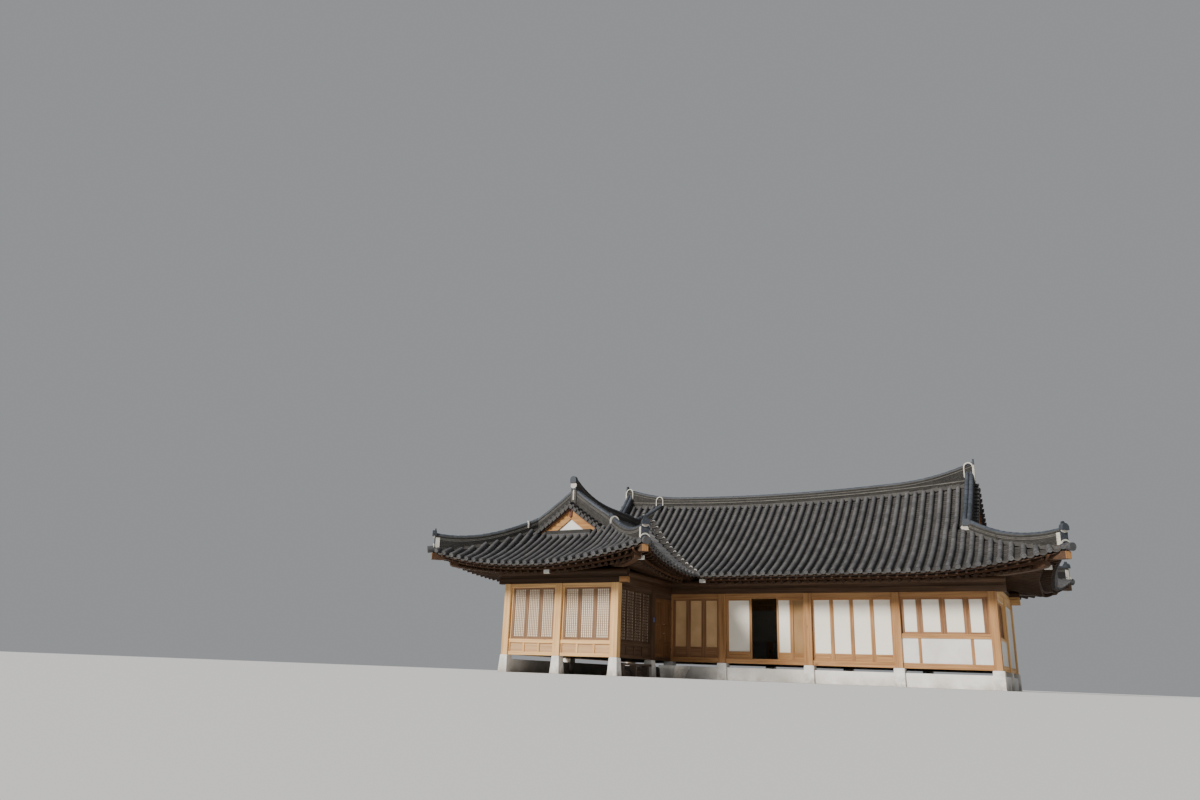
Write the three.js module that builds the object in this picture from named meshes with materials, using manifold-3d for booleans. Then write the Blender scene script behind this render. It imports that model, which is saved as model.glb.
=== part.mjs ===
// A traditional L-shaped tiled house: a main wing, a short front wing on its left, and one continuous
// hip-and-gable roof over both. Millimetres, +X right along the front, +Y to the back, +Z up.
// While it is modelled, x = 0, y = 0 is the centre of the front wing's front left post, on the ground.
import * as THREE from 'three';
import { mergeVertices } from 'three/addons/utils/BufferGeometryUtils.js';
import Module from 'manifold-3d';

const wasm = await Module();
wasm.setup();

// Plan of the timber frame
const WING_MID_X = 2145;
const WING_X = 4375;
const MAIN_Y = 4390;
const POST_2_X = 6490;
const POST_3_X = 9670;
const POST_4_X = 12660;
const END_X = 15650;
const RIDGE_Y = 7080;
const BACK_Y = 2 * RIDGE_Y - MAIN_Y;
const SIDE_POST_Y = 2670;
const POST = 260;
const HALF_POST = POST / 2;
const FIT = 0.3;

// Heights of the frame
const SILL_BOTTOM = 588;
const SILL_TOP = 700;
const APRON_TOP = 1000;
const RAIL_TOP = 1130;
const HEAD_BOTTOM = 2780;
const HEAD_TOP = 3030;
const TIE_TOP = 3300;
const BEAM_TOP = 3534.7;
const BEAM_END = 430;
const FLOOR_BOTTOM = 600;
const FLOOR_TOP = 690;
const WALL = 140;
const SILL_WIDTH = 180;
const APRON_THICK = 70;
const TIE_HALF = 100;
const TIE_LAP = 20;
const LAP = 10;
const MAIN_SILL_TOP = 760;
const MAIN_HEAD_BOTTOM = 2850;

// Leaves of doors and windows
const LEAF_STILE = 60;
const LEAF_THICK = 50;
const PANE_SINK = 36;
const BAY_D_RAIL_TOP = 1690;
const BAY_D_RAIL_DEPTH = 150;
const DOOR_OPEN_FROM = 7600;
const DOOR_OPEN_TO = 8530;
const WINDOW_BOTTOM = 1640;
const WINDOW_TOP = 2780;
const WINDOW_WIDTH = 1800;
const BACK_WINDOWS_FROM = [1290, 7180, 10265, 13255];
const LEFT_WINDOWS_FROM = [1200, 5400];
const RIGHT_WINDOWS_FROM = [5090];
const SCREEN_THICK = 40;
const SCREEN_LAP = 60;

// Entrance doors
const DOOR_GAP = 5;
const DOOR_SIDE_GAP = 20;
const DOOR_MEET_GAP = 12;
const DOOR_THICK = 50;
const DOOR_STILE = 90;
const DOOR_RAIL = 110;
const DOOR_SINK = 24;
const DOOR_LOW_FIELD_TOP = 1180;
const DOOR_TOP_FIELD_BOTTOM = 1940;
const HINGE_OUT = 20;
const HINGE_FROM_POST = 10;
const HINGE_HEIGHTS = [1000, 2480];
const KNUCKLE_RADIUS = 8;
const KNUCKLE_HEIGHT = 45;
const HINGE_STRAP = 80;
const HINGE_STRAP_THICK = 6;
const PULL_LOW = 1560;
const PULL_HIGH = 1880;
const PULL_END = 50;
const PULL_ARM_HALF = 10;
const PULL_BAR_HALF = 14;
const PULL_OUT = 52;
const PULL_BAR_THICK = 22;

// Stone, floors, step and bench
const PLINTH_TOP = SILL_BOTTOM - FIT;
const PLINTH_TOP_HALF = 140;
const PLINTH_FOOT_HALF = 195;
const FOOTING_HALF = 190;
const FOUNDATION_TOP = 440;
const FOUNDATION = 220;
const STEP_AWAY = 260;
const STEP_WIDTH = 640;
const STEP_FROM = 2860;
const STEP_TO = 4180;
const STEP_TOP = 430;
const STEP_SLAB = 110;
const STEP_FOOT_IN = 140;
const STEP_NECK_IN = 40;
const BENCH_UNDER_WALL = 155;
const BENCH_WIDTH = 360;
const BENCH_FROM = 270;
const BENCH_TO = 2410;
const BENCH_TOP = 430;
const BENCH_PLANK = 70;
const BENCH_LEG = 120;
const BENCH_IN = 60;
const BENCH_STRETCHER = 50;
const BENCH_STRETCHER_TOP = 190;

// Roof: eave line, slope and corner lift
const OVERHANG = 1725;
const CORNER_OUT = 450;
const EAVE_Z = 3530;
const EAVE_UNDER_Z = 3200;
const SLOPE = 0.45;
const CURVE = 0.0000656;
const SOFFIT_SLOPE = 0.21;
const RAFTER_SLOPE = 0.93;
const LIFT = 780;
const LIFT_REACH = 4300;
const LIFT_FADE = 4000;
const MAIN_SAG = 220;
const MAIN_SAG_X = 8010;
const WING_DROP = 400;
const WING_DROP_FROM = 1700;
const WING_GABLE_UP = 85;
const VALLEY_FADE = 1200;
const WING_X_MID = WING_X / 2;
const RIDGE_HALF = 120;
const HIP_HALF = 120;
const SEAM = 0.3;
const SEAT_UP = 1860;
const STEP = 1;

// Ridges, hip ridges and corner rafters
const MAIN_RIDGE_UP = 430;
const MAIN_TIP_UP = 360;
const MAIN_TIP_FROM = 4500;
const MAIN_TIP_REACH = 2500;
const WING_RIDGE_UP = 420;
const WING_TIP_UP = 580;
const WING_TIP_FROM = 4200;
const WING_TIP_REACH = 3660;
const WING_END_DOWN = 170;
const WING_END_FROM = 5000;
const RIDGE_SINK = 420;
const CLIMB_CLEAR = 25;
const CLIMB_DEPTH = 200;
const HIP_RIDGE_UP = 600;
const HIP_RIDGE_SINK = 60;
const HIP_TOP_UP = 2120;
const HIP_INTO_VERGE = 625;
const HIP_END = 60;
const CORNER_RAFTER_DROP = 150;
const RAFTER_COVER = 150;

// Straight eave lines and the tips of the corners
const EAVE_LEFT = -OVERHANG;
const EAVE_FRONT = -OVERHANG;
const EAVE_RIGHT = END_X + OVERHANG;
const EAVE_BACK = BACK_Y + OVERHANG;
const EAVE_COURT = WING_X + OVERHANG;
const EAVE_MAIN = MAIN_Y - OVERHANG;
const MAIN_RUN = RIDGE_Y - EAVE_MAIN;

// Gables: the plane of each gable's tiles and the distance its verge stands out
const GABLE_WALL = 90;
const VERGE_INNER = 295;
const VERGE_OUTER = 330;
const RIGHT_GABLE_X = 15000;
const LEFT_GABLE_X = 1040;
const FRONT_GABLE_Y = 540;
const VERGE_RIDGE_UP = 580;
const HIP_JOIN_UP = 560;
const VERGE_DEPTH = 350;
const VERGE_TILE_UP = 50;
const VERGE_TILE_DOWN = 200;
const GABLE_SEAT_UP = 40;
const BOARD_DEPTH = 340;
const BOARD_THICK = 60;
const BOARD_FOOT_IN = 380;
const WALL_FOOT_IN = 130;
const WALL_IN = 10;
const VERGE_FOOT_DOWN = 150;
const VALLEY_FOOT_CLEAR = 40;
const GABLE_FOOT_Z = 4560;

const house = new THREE.Group();

function finish(color, roughness, metalness = 0) {
  return () => new THREE.MeshStandardMaterial({ color, roughness, metalness });
}

const tile = finish(0x3b4047, 0.75);
const timber = finish(0x9a6236, 0.65);
const darkTimber = finish(0x5b3a22, 0.7);
const paper = finish(0xe4ded0, 0.85);
const plaster = finish(0xe9e4da, 0.9);
const granite = finish(0xa9a6a0, 0.85);
const steel = finish(0xc9c9c6, 0.35, 0.8);

function add(name, geometry, makeFinish, parent = house) {
  const mesh = new THREE.Mesh(geometry, makeFinish());
  mesh.name = name;
  parent.add(mesh);
  return mesh;
}

function block(x0, x1, y0, y1, z0, z1) {
  const geometry = new THREE.BoxGeometry(x1 - x0, y1 - y0, z1 - z0);
  geometry.translate((x0 + x1) / 2, (y0 + y1) / 2, (z0 + z1) / 2);
  return geometry;
}

function toSolid(geometry) {
  const plain = geometry.clone();
  plain.deleteAttribute('normal');
  plain.deleteAttribute('uv');
  const merged = mergeVertices(plain, 0.001);
  return new wasm.Manifold(new wasm.Mesh({
    numProp: 3,
    vertProperties: merged.attributes.position.array,
    triVerts: merged.index.array,
  }));
}

function toGeometry(solid) {
  const mesh = solid.getMesh();
  const geometry = new THREE.BufferGeometry();
  geometry.setAttribute('position', new THREE.BufferAttribute(Float32Array.from(mesh.vertProperties), 3));
  geometry.setIndex(new THREE.BufferAttribute(Uint32Array.from(mesh.triVerts), 1));
  return geometry;
}

function join(...geometries) {
  return toGeometry(geometries.map(toSolid).reduce((all, one) => all.add(one)));
}

function cut(geometry, ...tools) {
  return toGeometry(tools.map(toSolid).reduce((all, one) => all.subtract(one), toSolid(geometry)));
}

// A closed solid from rings of points that all have the same count, capped at both ends.
function ringSolid(rings) {
  const count = rings[0].length;
  const position = [];
  const index = [];
  for (const ring of rings) {
    for (const point of ring) position.push(...point);
  }
  for (let r = 0; r < rings.length - 1; r += 1) {
    for (let i = 0; i < count; i += 1) {
      const a = r * count + i;
      const b = r * count + ((i + 1) % count);
      index.push(a, b, b + count, a, b + count, a + count);
    }
  }
  const last = (rings.length - 1) * count;
  for (const [a, b, c] of capFaces(rings[0])) index.push(a, c, b);
  for (const [a, b, c] of capFaces(rings[rings.length - 1])) index.push(last + a, last + b, last + c);
  const geometry = new THREE.BufferGeometry();
  geometry.setAttribute('position', new THREE.Float32BufferAttribute(position, 3));
  geometry.setIndex(index);
  return geometry;
}

// The faces that close a ring, wound the same way round as the ring
function capFaces(ring) {
  const points = flatten(ring);
  const way = Math.sign(THREE.ShapeUtils.area(points));
  return THREE.ShapeUtils.triangulateShape(points, []).map(([a, b, c]) => (
    Math.sign(THREE.ShapeUtils.area([points[a], points[b], points[c]])) === way ? [a, b, c] : [a, c, b]));
}

// A planar ring seen as 2-D points: heights against the distance along the ring's own plane.
function flatten(ring) {
  const [x0, y0] = ring[0];
  const far = ring.reduce((best, p) => (
    Math.hypot(p[0] - x0, p[1] - y0) > Math.hypot(best[0] - x0, best[1] - y0) ? p : best), ring[0]);
  const length = Math.hypot(far[0] - x0, far[1] - y0);
  const ux = (far[0] - x0) / length;
  const uy = (far[1] - y0) / length;
  return ring.map((p) => new THREE.Vector2((p[0] - x0) * ux + (p[1] - y0) * uy, p[2]));
}

// Rise of the tiles above the eave at a distance up the slope
function rise(d) {
  return SLOPE * d + CURVE * d * d;
}

// Underside of the rafters above the eave's own underside
function underRise(d) {
  if (d <= SEAT_UP) return SOFFIT_SLOPE * d;
  return SOFFIT_SLOPE * SEAT_UP + RAFTER_SLOPE * (d - SEAT_UP);
}

// Lift near a corner: along is the distance from the tip along the eave
function cornerLift(along, d) {
  const s = Math.max(0, 1 - Math.max(0, along) / LIFT_REACH);
  const fade = Math.max(0, 1 - (d + CORNER_OUT) / LIFT_FADE);
  return LIFT * s ** 2.5 * Math.min(1, fade);
}

function cornerOut(along) {
  const s = Math.max(0, 1 - Math.max(0, along) / LIFT_REACH);
  return CORNER_OUT * s ** 3;
}

function mainSag(x, d) {
  const up = Math.min(1, Math.max(0, (d - 2000) / (MAIN_RUN - 2000)));
  return MAIN_SAG * ((x - MAIN_SAG_X) / 6000) ** 2 * up * up;
}

// The wing's upper slopes are flatter than the main ones, and run into them along the valleys
function wingSag(y, d) {
  const up = Math.min(1, Math.max(0, (d - WING_DROP_FROM) / (WING_X_MID + OVERHANG - WING_DROP_FROM)));
  const toGable = Math.max(0, (3900 - y) / 3400);
  const away = Math.min(1, Math.max(0, (EAVE_MAIN + d - y) / VALLEY_FADE));
  const fade = away * away * (3 - 2 * away);
  return (WING_GABLE_UP * toGable * toGable - WING_DROP) * up ** 1.3 * fade;
}

// Each side of the roof: how far a point is up the slope, and how far from each lifted corner
const TIP = OVERHANG + CORNER_OUT;
const sides = {
  main: {
    up: (x, y) => y - EAVE_MAIN,
    corners: (x) => [END_X + TIP - x],
    sag: (x, y, d) => mainSag(x, d),
  },
  back: {
    up: (x, y) => EAVE_BACK - y,
    corners: (x) => [END_X + TIP - x, x + TIP],
    sag: (x, y, d) => mainSag(x, d),
  },
  right: {
    up: (x) => EAVE_RIGHT - x,
    corners: (x, y) => [y - (MAIN_Y - TIP), BACK_Y + TIP - y],
    sag: () => 0,
  },
  left: {
    up: (x) => x - EAVE_LEFT,
    corners: (x, y) => [y + TIP, BACK_Y + TIP - y],
    sag: (x, y, d) => wingSag(y, d),
  },
  front: {
    up: (x, y) => y - EAVE_FRONT,
    corners: (x) => [x + TIP, WING_X + TIP - x],
    sag: () => 0,
  },
  court: {
    up: (x) => EAVE_COURT - x,
    corners: (x, y) => [y + TIP],
    sag: (x, y, d) => wingSag(y, d),
  },
};

function tileZ(side, x, y) {
  const d = side.up(x, y);
  const lift = side.corners(x, y).reduce((sum, along) => sum + cornerLift(along, d), 0);
  return EAVE_Z + rise(d) + lift + side.sag(x, y, d);
}

function underZ(side, x, y) {
  const d = side.up(x, y);
  const lift = side.corners(x, y).reduce((sum, along) => sum + cornerLift(along, d), 0);
  return EAVE_UNDER_Z + underRise(d) + lift;
}

// Parts of a slope from its low edge to its high edge: below the wall line and above it
const LOW_STEPS = [0, 0.25, 0.55, 1];
const HIGH_STEPS = [0.35, 0.7, 1];

function slopeSteps(side, low, high) {
  const dLow = side.up(...low);
  const dHigh = side.up(...high);
  const seat = Math.min(Math.max((SEAT_UP - dLow) / (dHigh - dLow), 0.25), 0.6);
  const lower = LOW_STEPS.map((t) => t * seat);
  const upper = HIGH_STEPS.map((t) => seat + t * (1 - seat));
  return [...lower, ...upper];
}

// One side of the roof as a slab with its real build-up, from columns of [low point, high point]
function slab(side, columns) {
  const rings = columns.map(([low, high]) => {
    const steps = slopeSteps(side, low, high);
    const points = steps.map((t) => [low[0] + (high[0] - low[0]) * t, low[1] + (high[1] - low[1]) * t]);
    const top = points.map(([x, y]) => [x, y, tileZ(side, x, y)]);
    const under = points.map(([x, y]) => [x, y, underZ(side, x, y)]).reverse();
    return [...top, ...under];
  });
  return stripSolid(rings);
}

// As ringSolid, with caps made of quads because each ring is a top row and an under row
function stripSolid(rings) {
  const count = rings[0].length;
  const half = count / 2;
  const position = rings.flat(2);
  const index = [];
  for (let r = 0; r < rings.length - 1; r += 1) {
    for (let i = 0; i < count; i += 1) {
      const a = r * count + i;
      const b = r * count + ((i + 1) % count);
      index.push(a, b + count, b, a, a + count, b + count);
    }
  }
  const last = (rings.length - 1) * count;
  for (let i = 0; i < half - 1; i += 1) {
    const j = count - 1 - i;
    index.push(i, i + 1, j - 1, i, j - 1, j);
    index.push(last + i, last + j - 1, last + i + 1, last + i, last + j, last + j - 1);
  }
  const geometry = new THREE.BufferGeometry();
  geometry.setAttribute('position', new THREE.Float32BufferAttribute(position, 3));
  geometry.setIndex(index);
  return outward(geometry);
}

// Turns every face over where the solid came out inside out
function outward(geometry) {
  const p = geometry.attributes.position;
  const index = geometry.index.array;
  const a = new THREE.Vector3();
  const b = new THREE.Vector3();
  const c = new THREE.Vector3();
  let volume = 0;
  for (let i = 0; i < index.length; i += 3) {
    a.fromBufferAttribute(p, index[i]);
    b.fromBufferAttribute(p, index[i + 1]);
    c.fromBufferAttribute(p, index[i + 2]);
    volume += a.dot(b.cross(c));
  }
  if (volume < 0) {
    for (let i = 0; i < index.length; i += 3) [index[i + 1], index[i + 2]] = [index[i + 2], index[i + 1]];
  }
  return geometry;
}

function spread(from, to, count) {
  return Array.from({ length: count + 1 }, (_, i) => from + ((to - from) * i) / count);
}

const HIP_CLEAR = (HIP_HALF + SEAM) * Math.SQRT2;
const RIDGE_CLEAR = RIDGE_HALF + SEAM;
const FRONT_TOP_Y = FRONT_GABLE_Y - GABLE_WALL - WALL_IN - SEAM;
const RIGHT_TOP_X = RIGHT_GABLE_X + GABLE_WALL + WALL_IN + SEAM;
const LEFT_TOP_X = LEFT_GABLE_X - GABLE_WALL - WALL_IN - SEAM;
const RIGHT_VERGE_X = RIGHT_GABLE_X - VERGE_INNER;
const LEFT_VERGE_X = LEFT_GABLE_X + VERGE_INNER;
const FRONT_VERGE_Y = FRONT_GABLE_Y + VERGE_INNER;

// Plan lines of hips and valleys, each as one coordinate from the other
const hip = {
  frontLeft: (u) => u,
  frontRight: (u) => WING_X - u,
  rightFront: (x) => MAIN_Y + END_X - x,
  rightBack: (x) => BACK_Y - END_X + x,
  leftBack: (x) => BACK_Y - x,
};
const VALLEY_LEFT = MAIN_Y;
const VALLEY_RIGHT = EAVE_COURT + EAVE_MAIN;
const wingEndY = WING_X_MID + MAIN_Y;

function mainColumns() {
  const ridge = RIDGE_Y - RIDGE_CLEAR;
  const columns = [];
  const left = LEFT_VERGE_X + SEAM;
  columns.push([[left, left + VALLEY_LEFT + SEAM], [left, ridge]]);
  const wingLeft = WING_X_MID - RIDGE_CLEAR;
  const wingRight = WING_X_MID + RIDGE_CLEAR;
  const wingEnd = wingEndY - RIDGE_HALF + 2 * STEP;
  columns.push([[wingLeft, wingEnd + SEAM], [wingLeft, ridge]]);
  columns.push([[wingRight, wingEnd + SEAM], [wingRight, ridge]]);
  for (const x of spread(wingRight, EAVE_COURT, 6).slice(1)) {
    columns.push([[x, VALLEY_RIGHT - x + SEAM], [x, ridge]]);
  }
  for (const x of spread(EAVE_COURT, RIGHT_VERGE_X - SEAM - STEP, 12).slice(1)) {
    columns.push([[x, eaveY(x)], [x, ridge]]);
  }
  const tip = END_X + TIP;
  for (const x of spread(RIGHT_VERGE_X - SEAM, tip - HIP_CLEAR - HIP_END, 6)) {
    columns.push([[x, eaveY(x)], [x, hip.rightFront(x) - HIP_CLEAR]]);
  }
  return columns;
}

function eaveY(x) {
  return EAVE_MAIN - cornerOut(END_X + TIP - x);
}

function backColumns() {
  const ridge = RIDGE_Y + RIDGE_CLEAR;
  const leftTip = -TIP;
  const rightTip = END_X + TIP;
  const low = (x) => [x, EAVE_BACK + cornerOut(rightTip - x) + cornerOut(x - leftTip)];
  const columns = [];
  for (const x of spread(leftTip + HIP_CLEAR + HIP_END, LEFT_VERGE_X + SEAM, 6)) {
    columns.push([low(x), [x, hip.leftBack(x) + HIP_CLEAR]]);
  }
  for (const x of spread(LEFT_VERGE_X + SEAM + STEP, RIGHT_VERGE_X - SEAM - STEP, 14)) {
    columns.push([low(x), [x, ridge]]);
  }
  for (const x of spread(RIGHT_VERGE_X - SEAM, rightTip - HIP_CLEAR - HIP_END, 6)) {
    columns.push([low(x), [x, hip.rightBack(x) + HIP_CLEAR]]);
  }
  return columns;
}

// A hip side between two corners: its high edge follows one hip, the foot of the gable, then the other hip
function hipColumns(axis, from, to, eave, gable) {
  const stations = spread(from + HIP_CLEAR + HIP_END, to - HIP_CLEAR - HIP_END, 14);
  const outwardSign = Math.sign(eave - gable);
  return stations.map((s) => {
    const along = Math.min(s - from, to - s);
    const out = cornerOut(s - from) + cornerOut(to - s);
    const low = eave + outwardSign * out;
    const hipLine = eave + outwardSign * (CORNER_OUT - along + HIP_CLEAR);
    const high = outwardSign > 0 ? Math.max(hipLine, gable) : Math.min(hipLine, gable);
    return axis === 'x' ? [[s, low], [s, high]] : [[low, s], [high, s]];
  });
}

function leftColumns() {
  const leftEave = (y) => EAVE_LEFT - cornerOut(y + TIP);
  const ridge = WING_X_MID - RIDGE_CLEAR;
  const verge = FRONT_VERGE_Y + SEAM;
  const notch = LEFT_VERGE_X + VALLEY_LEFT;
  const columns = [];
  for (const y of spread(-TIP + HIP_CLEAR + HIP_END, verge, 5)) {
    columns.push([[leftEave(y), y], [y - HIP_CLEAR, y]]);
  }
  for (const y of spread(verge + STEP, notch - STEP, 8)) columns.push([[leftEave(y), y], [ridge, y]]);
  const last = ridge + VALLEY_LEFT - HIP_END;
  for (const y of spread(notch, last, 1)) columns.push([[y - VALLEY_LEFT + SEAM, y], [ridge, y]]);
  return columns;
}

function courtColumns() {
  const ridge = WING_X_MID + RIDGE_CLEAR;
  const verge = FRONT_VERGE_Y + SEAM;
  const tip = -TIP;
  const eave = (y) => EAVE_COURT + cornerOut(y - tip);
  const columns = [];
  for (const y of spread(tip + HIP_CLEAR + HIP_END, verge, 5)) {
    columns.push([[eave(y), y], [WING_X - y + HIP_CLEAR, y]]);
  }
  for (const y of spread(verge + STEP, EAVE_MAIN, 4)) columns.push([[eave(y), y], [ridge, y]]);
  const last = VALLEY_RIGHT - ridge - HIP_END;
  for (const y of spread(EAVE_MAIN, last, 5).slice(1)) {
    columns.push([[VALLEY_RIGHT - y - SEAM, y], [ridge, y]]);
  }
  return columns;
}

function addRoofSlabs() {
  add('roof_main_front', slab(sides.main, mainColumns()), tile);
  add('roof_main_back', slab(sides.back, backColumns()), tile);
  const rightSide = hipColumns('y', MAIN_Y - TIP, BACK_Y + TIP, EAVE_RIGHT, RIGHT_TOP_X);
  add('roof_right_side', slab(sides.right, rightSide), tile);
  const frontSide = hipColumns('x', -TIP, WING_X + TIP, EAVE_FRONT, FRONT_TOP_Y);
  add('roof_wing_front', slab(sides.front, frontSide), tile);
  add('roof_wing_left', slab(sides.left, leftColumns()), tile);
  add('roof_wing_courtyard', slab(sides.court, courtColumns()), tile);
  add('roof_left_side', slab(sides.left, leftHipColumns()), tile);
}

function leftHipColumns() {
  const start = LEFT_VERGE_X + VALLEY_LEFT + SEAM;
  const tip = BACK_Y + TIP;
  return spread(start, tip - HIP_CLEAR - HIP_END, 10).map((y) => {
    const low = EAVE_LEFT - cornerOut(tip - y) - cornerOut(y + TIP);
    const hipLine = BACK_Y - y - HIP_CLEAR;
    return [[low, y], [Math.min(hipLine, LEFT_TOP_X), y]];
  });
}

// A fin with upright sides along a straight plan line, from stations of [distance, bottom, top]
function fin(origin, direction, half, stations) {
  const [ox, oy] = origin;
  const [dx, dy] = direction;
  const rings = stations.map(([t, bottom, top]) => {
    const x = ox + dx * t;
    const y = oy + dy * t;
    const right = [x + dy * half, y - dx * half];
    const left = [x - dy * half, y + dx * half];
    return [[...left, bottom], [...right, bottom], [...right, top], [...left, top]];
  });
  return outward(ringSolid(rings));
}

const DIAGONAL = Math.SQRT1_2;
const BEAM_SEAT = BEAM_TOP + FIT;

const hipRidges = {};

// One corner: the hip ridge of stacked tiles, kept for its gable's verge, and the corner rafter under it
function addCorner(name, tip, inward, side, gableIn) {
  const at = (c) => [tip[0] + inward[0] * c, tip[1] + inward[1] * c];
  const direction = [inward[0] * DIAGONAL, inward[1] * DIAGONAL];
  const length = (c) => c / DIAGONAL;
  const top = HIP_TOP_UP + CORNER_OUT;
  const join = gableIn + HIP_INTO_VERGE;
  const ridge = [180, 350, 700, 1150, 1600, 2100, join].map((c) => {
    const z = tileZ(side, ...at(c));
    return [length(c), z - HIP_RIDGE_SINK, z + (c < join ? HIP_RIDGE_UP : HIP_JOIN_UP)];
  });
  hipRidges[name] = fin(tip, direction, HIP_HALF, ridge);
  const rafter = [110, 350, 700, 1150, 1600, 1920, 1960, 2300, top].map((c) => {
    const under = underZ(side, ...at(c)) - CORNER_RAFTER_DROP;
    const bottom = c > 1930 ? Math.max(BEAM_SEAT, under) : under;
    return [length(c), bottom, tileZ(side, ...at(c)) - RAFTER_COVER];
  });
  add(`${name}_corner_rafter`, fin(tip, direction, HIP_HALF, rafter), timber);
}

// A ridge stands between two slopes and sweeps up to its ends, which lie over the verges of its gables
function addMainRidge() {
  const edge = (x) => tileZ(sides.main, x, RIDGE_Y - RIDGE_CLEAR);
  const apex = (x) => tileZ(sides.main, x, RIDGE_Y);
  const top = (x) => {
    const end = Math.max(0, (Math.abs(x - MAIN_SAG_X) - MAIN_TIP_FROM) / MAIN_TIP_REACH);
    return apex(x) + MAIN_RIDGE_UP + MAIN_TIP_UP * end * end;
  };
  const left = LEFT_VERGE_X + SEAM;
  const right = RIGHT_VERGE_X - SEAM;
  const over = (gable, x) => [x, apex(gable) + VERGE_RIDGE_UP + FIT, top(x)];
  const stations = [
    over(LEFT_GABLE_X, LEFT_GABLE_X),
    over(LEFT_GABLE_X, left),
    ...spread(left + STEP, right - STEP, 16).map((x) => [x, edge(x) - RIDGE_SINK, top(x)]),
    over(RIGHT_GABLE_X, right),
    over(RIGHT_GABLE_X, RIGHT_GABLE_X),
  ];
  add('main_ridge', fin([0, RIDGE_Y], [1, 0], RIDGE_HALF, stations), tile);
}

// The wing's ridge ends in a short climb over the main slope to the main ridge
function addWingRidge() {
  const edge = (y) => tileZ(sides.left, WING_X_MID - RIDGE_CLEAR, y);
  const apex = (y) => tileZ(sides.left, WING_X_MID, y);
  const end = wingEndY - RIDGE_HALF;
  const front = FRONT_VERGE_Y + SEAM;
  const top = (y) => {
    const tip = Math.max(0, (WING_TIP_FROM - y) / WING_TIP_REACH);
    const down = Math.max(0, (y - WING_END_FROM) / (end - WING_END_FROM));
    return apex(y) + WING_RIDGE_UP + WING_TIP_UP * tip ** 3 - WING_END_DOWN * down;
  };
  const over = (y) => [y, apex(FRONT_GABLE_Y) + VERGE_RIDGE_UP + FIT, top(y)];
  const climb = [end + STEP, (end + RIDGE_Y) / 2 - 60, RIDGE_Y - RIDGE_CLEAR].map((y) => {
    const bottom = tileZ(sides.main, WING_X_MID, y) + CLIMB_CLEAR;
    return [y, bottom, Math.max(bottom + CLIMB_DEPTH, top(end))];
  });
  const stations = [
    over(FRONT_GABLE_Y),
    over(front),
    ...spread(front + STEP, end, 9).map((y) => [y, edge(y) - RIDGE_SINK, top(y)]),
    ...climb,
  ];
  add('wing_ridge', fin([WING_X_MID, 0], [0, 1], RIDGE_HALF, stations), tile);
}

// A gable: the ridge and edge tiles that run down both verges, the boards under them and the wall.
// Its edge tiles and boards keep clear of the roof below them, which comes up to the seat.
function addGable(name, place, surface, apex, feet, seat, hips) {
  const [footA, footB] = feet;
  const stations = [...spread(footA, apex, 4), ...spread(apex, footB, 4).slice(1)];
  const low = (s) => Math.max(surface(s) - VERGE_TILE_DOWN, seat);
  const verge = stations.map((s) => {
    const z = surface(s);
    return [
      place(0, s, z + VERGE_RIDGE_UP), place(0, s, z + VERGE_TILE_UP),
      place(VERGE_OUTER, s, z + VERGE_TILE_UP), place(VERGE_OUTER, s, low(s)),
      place(0, s, low(s)), place(0, s, z - VERGE_DEPTH),
      place(-VERGE_INNER, s, z - VERGE_DEPTH), place(-VERGE_INNER, s, z + VERGE_RIDGE_UP),
    ];
  });
  add(`${name}_verge_and_hips`, join(outward(ringSolid(verge)), ...hips), tile);
  const under = (s) => chord(stations, low, s) - FIT;
  const boardFoot = (s) => Math.max(under(s) - BOARD_DEPTH, seat);
  const inner = (gap) => [
    footA + gap, ...stations.filter((s) => s > footA + gap && s < footB - gap), footB - gap];
  const boards = inner(BOARD_FOOT_IN).map((s) => [
    place(GABLE_WALL, s, under(s)), place(GABLE_WALL + BOARD_THICK, s, under(s)),
    place(GABLE_WALL + BOARD_THICK, s, boardFoot(s)), place(GABLE_WALL, s, boardFoot(s)),
  ]);
  const wall = inner(WALL_FOOT_IN).map((s) => [
    place(WALL_IN, s, under(s)), place(WALL_IN + GABLE_WALL, s, under(s)),
    place(WALL_IN + GABLE_WALL, s, GABLE_FOOT_Z), place(WALL_IN, s, GABLE_FOOT_Z),
  ]);
  add(`${name}_gable`, join(outward(ringSolid(boards)), outward(ringSolid(wall))), timber);
}

// Height of the straight facets between stations
function chord(stations, surface, s) {
  const i = Math.max(0, stations.findIndex((v) => v >= s - 1e-6) - 1);
  const a = stations[i];
  const b = stations[i + 1];
  const t = (s - a) / (b - a);
  return surface(a) + (surface(b) - surface(a)) * t;
}

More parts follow.
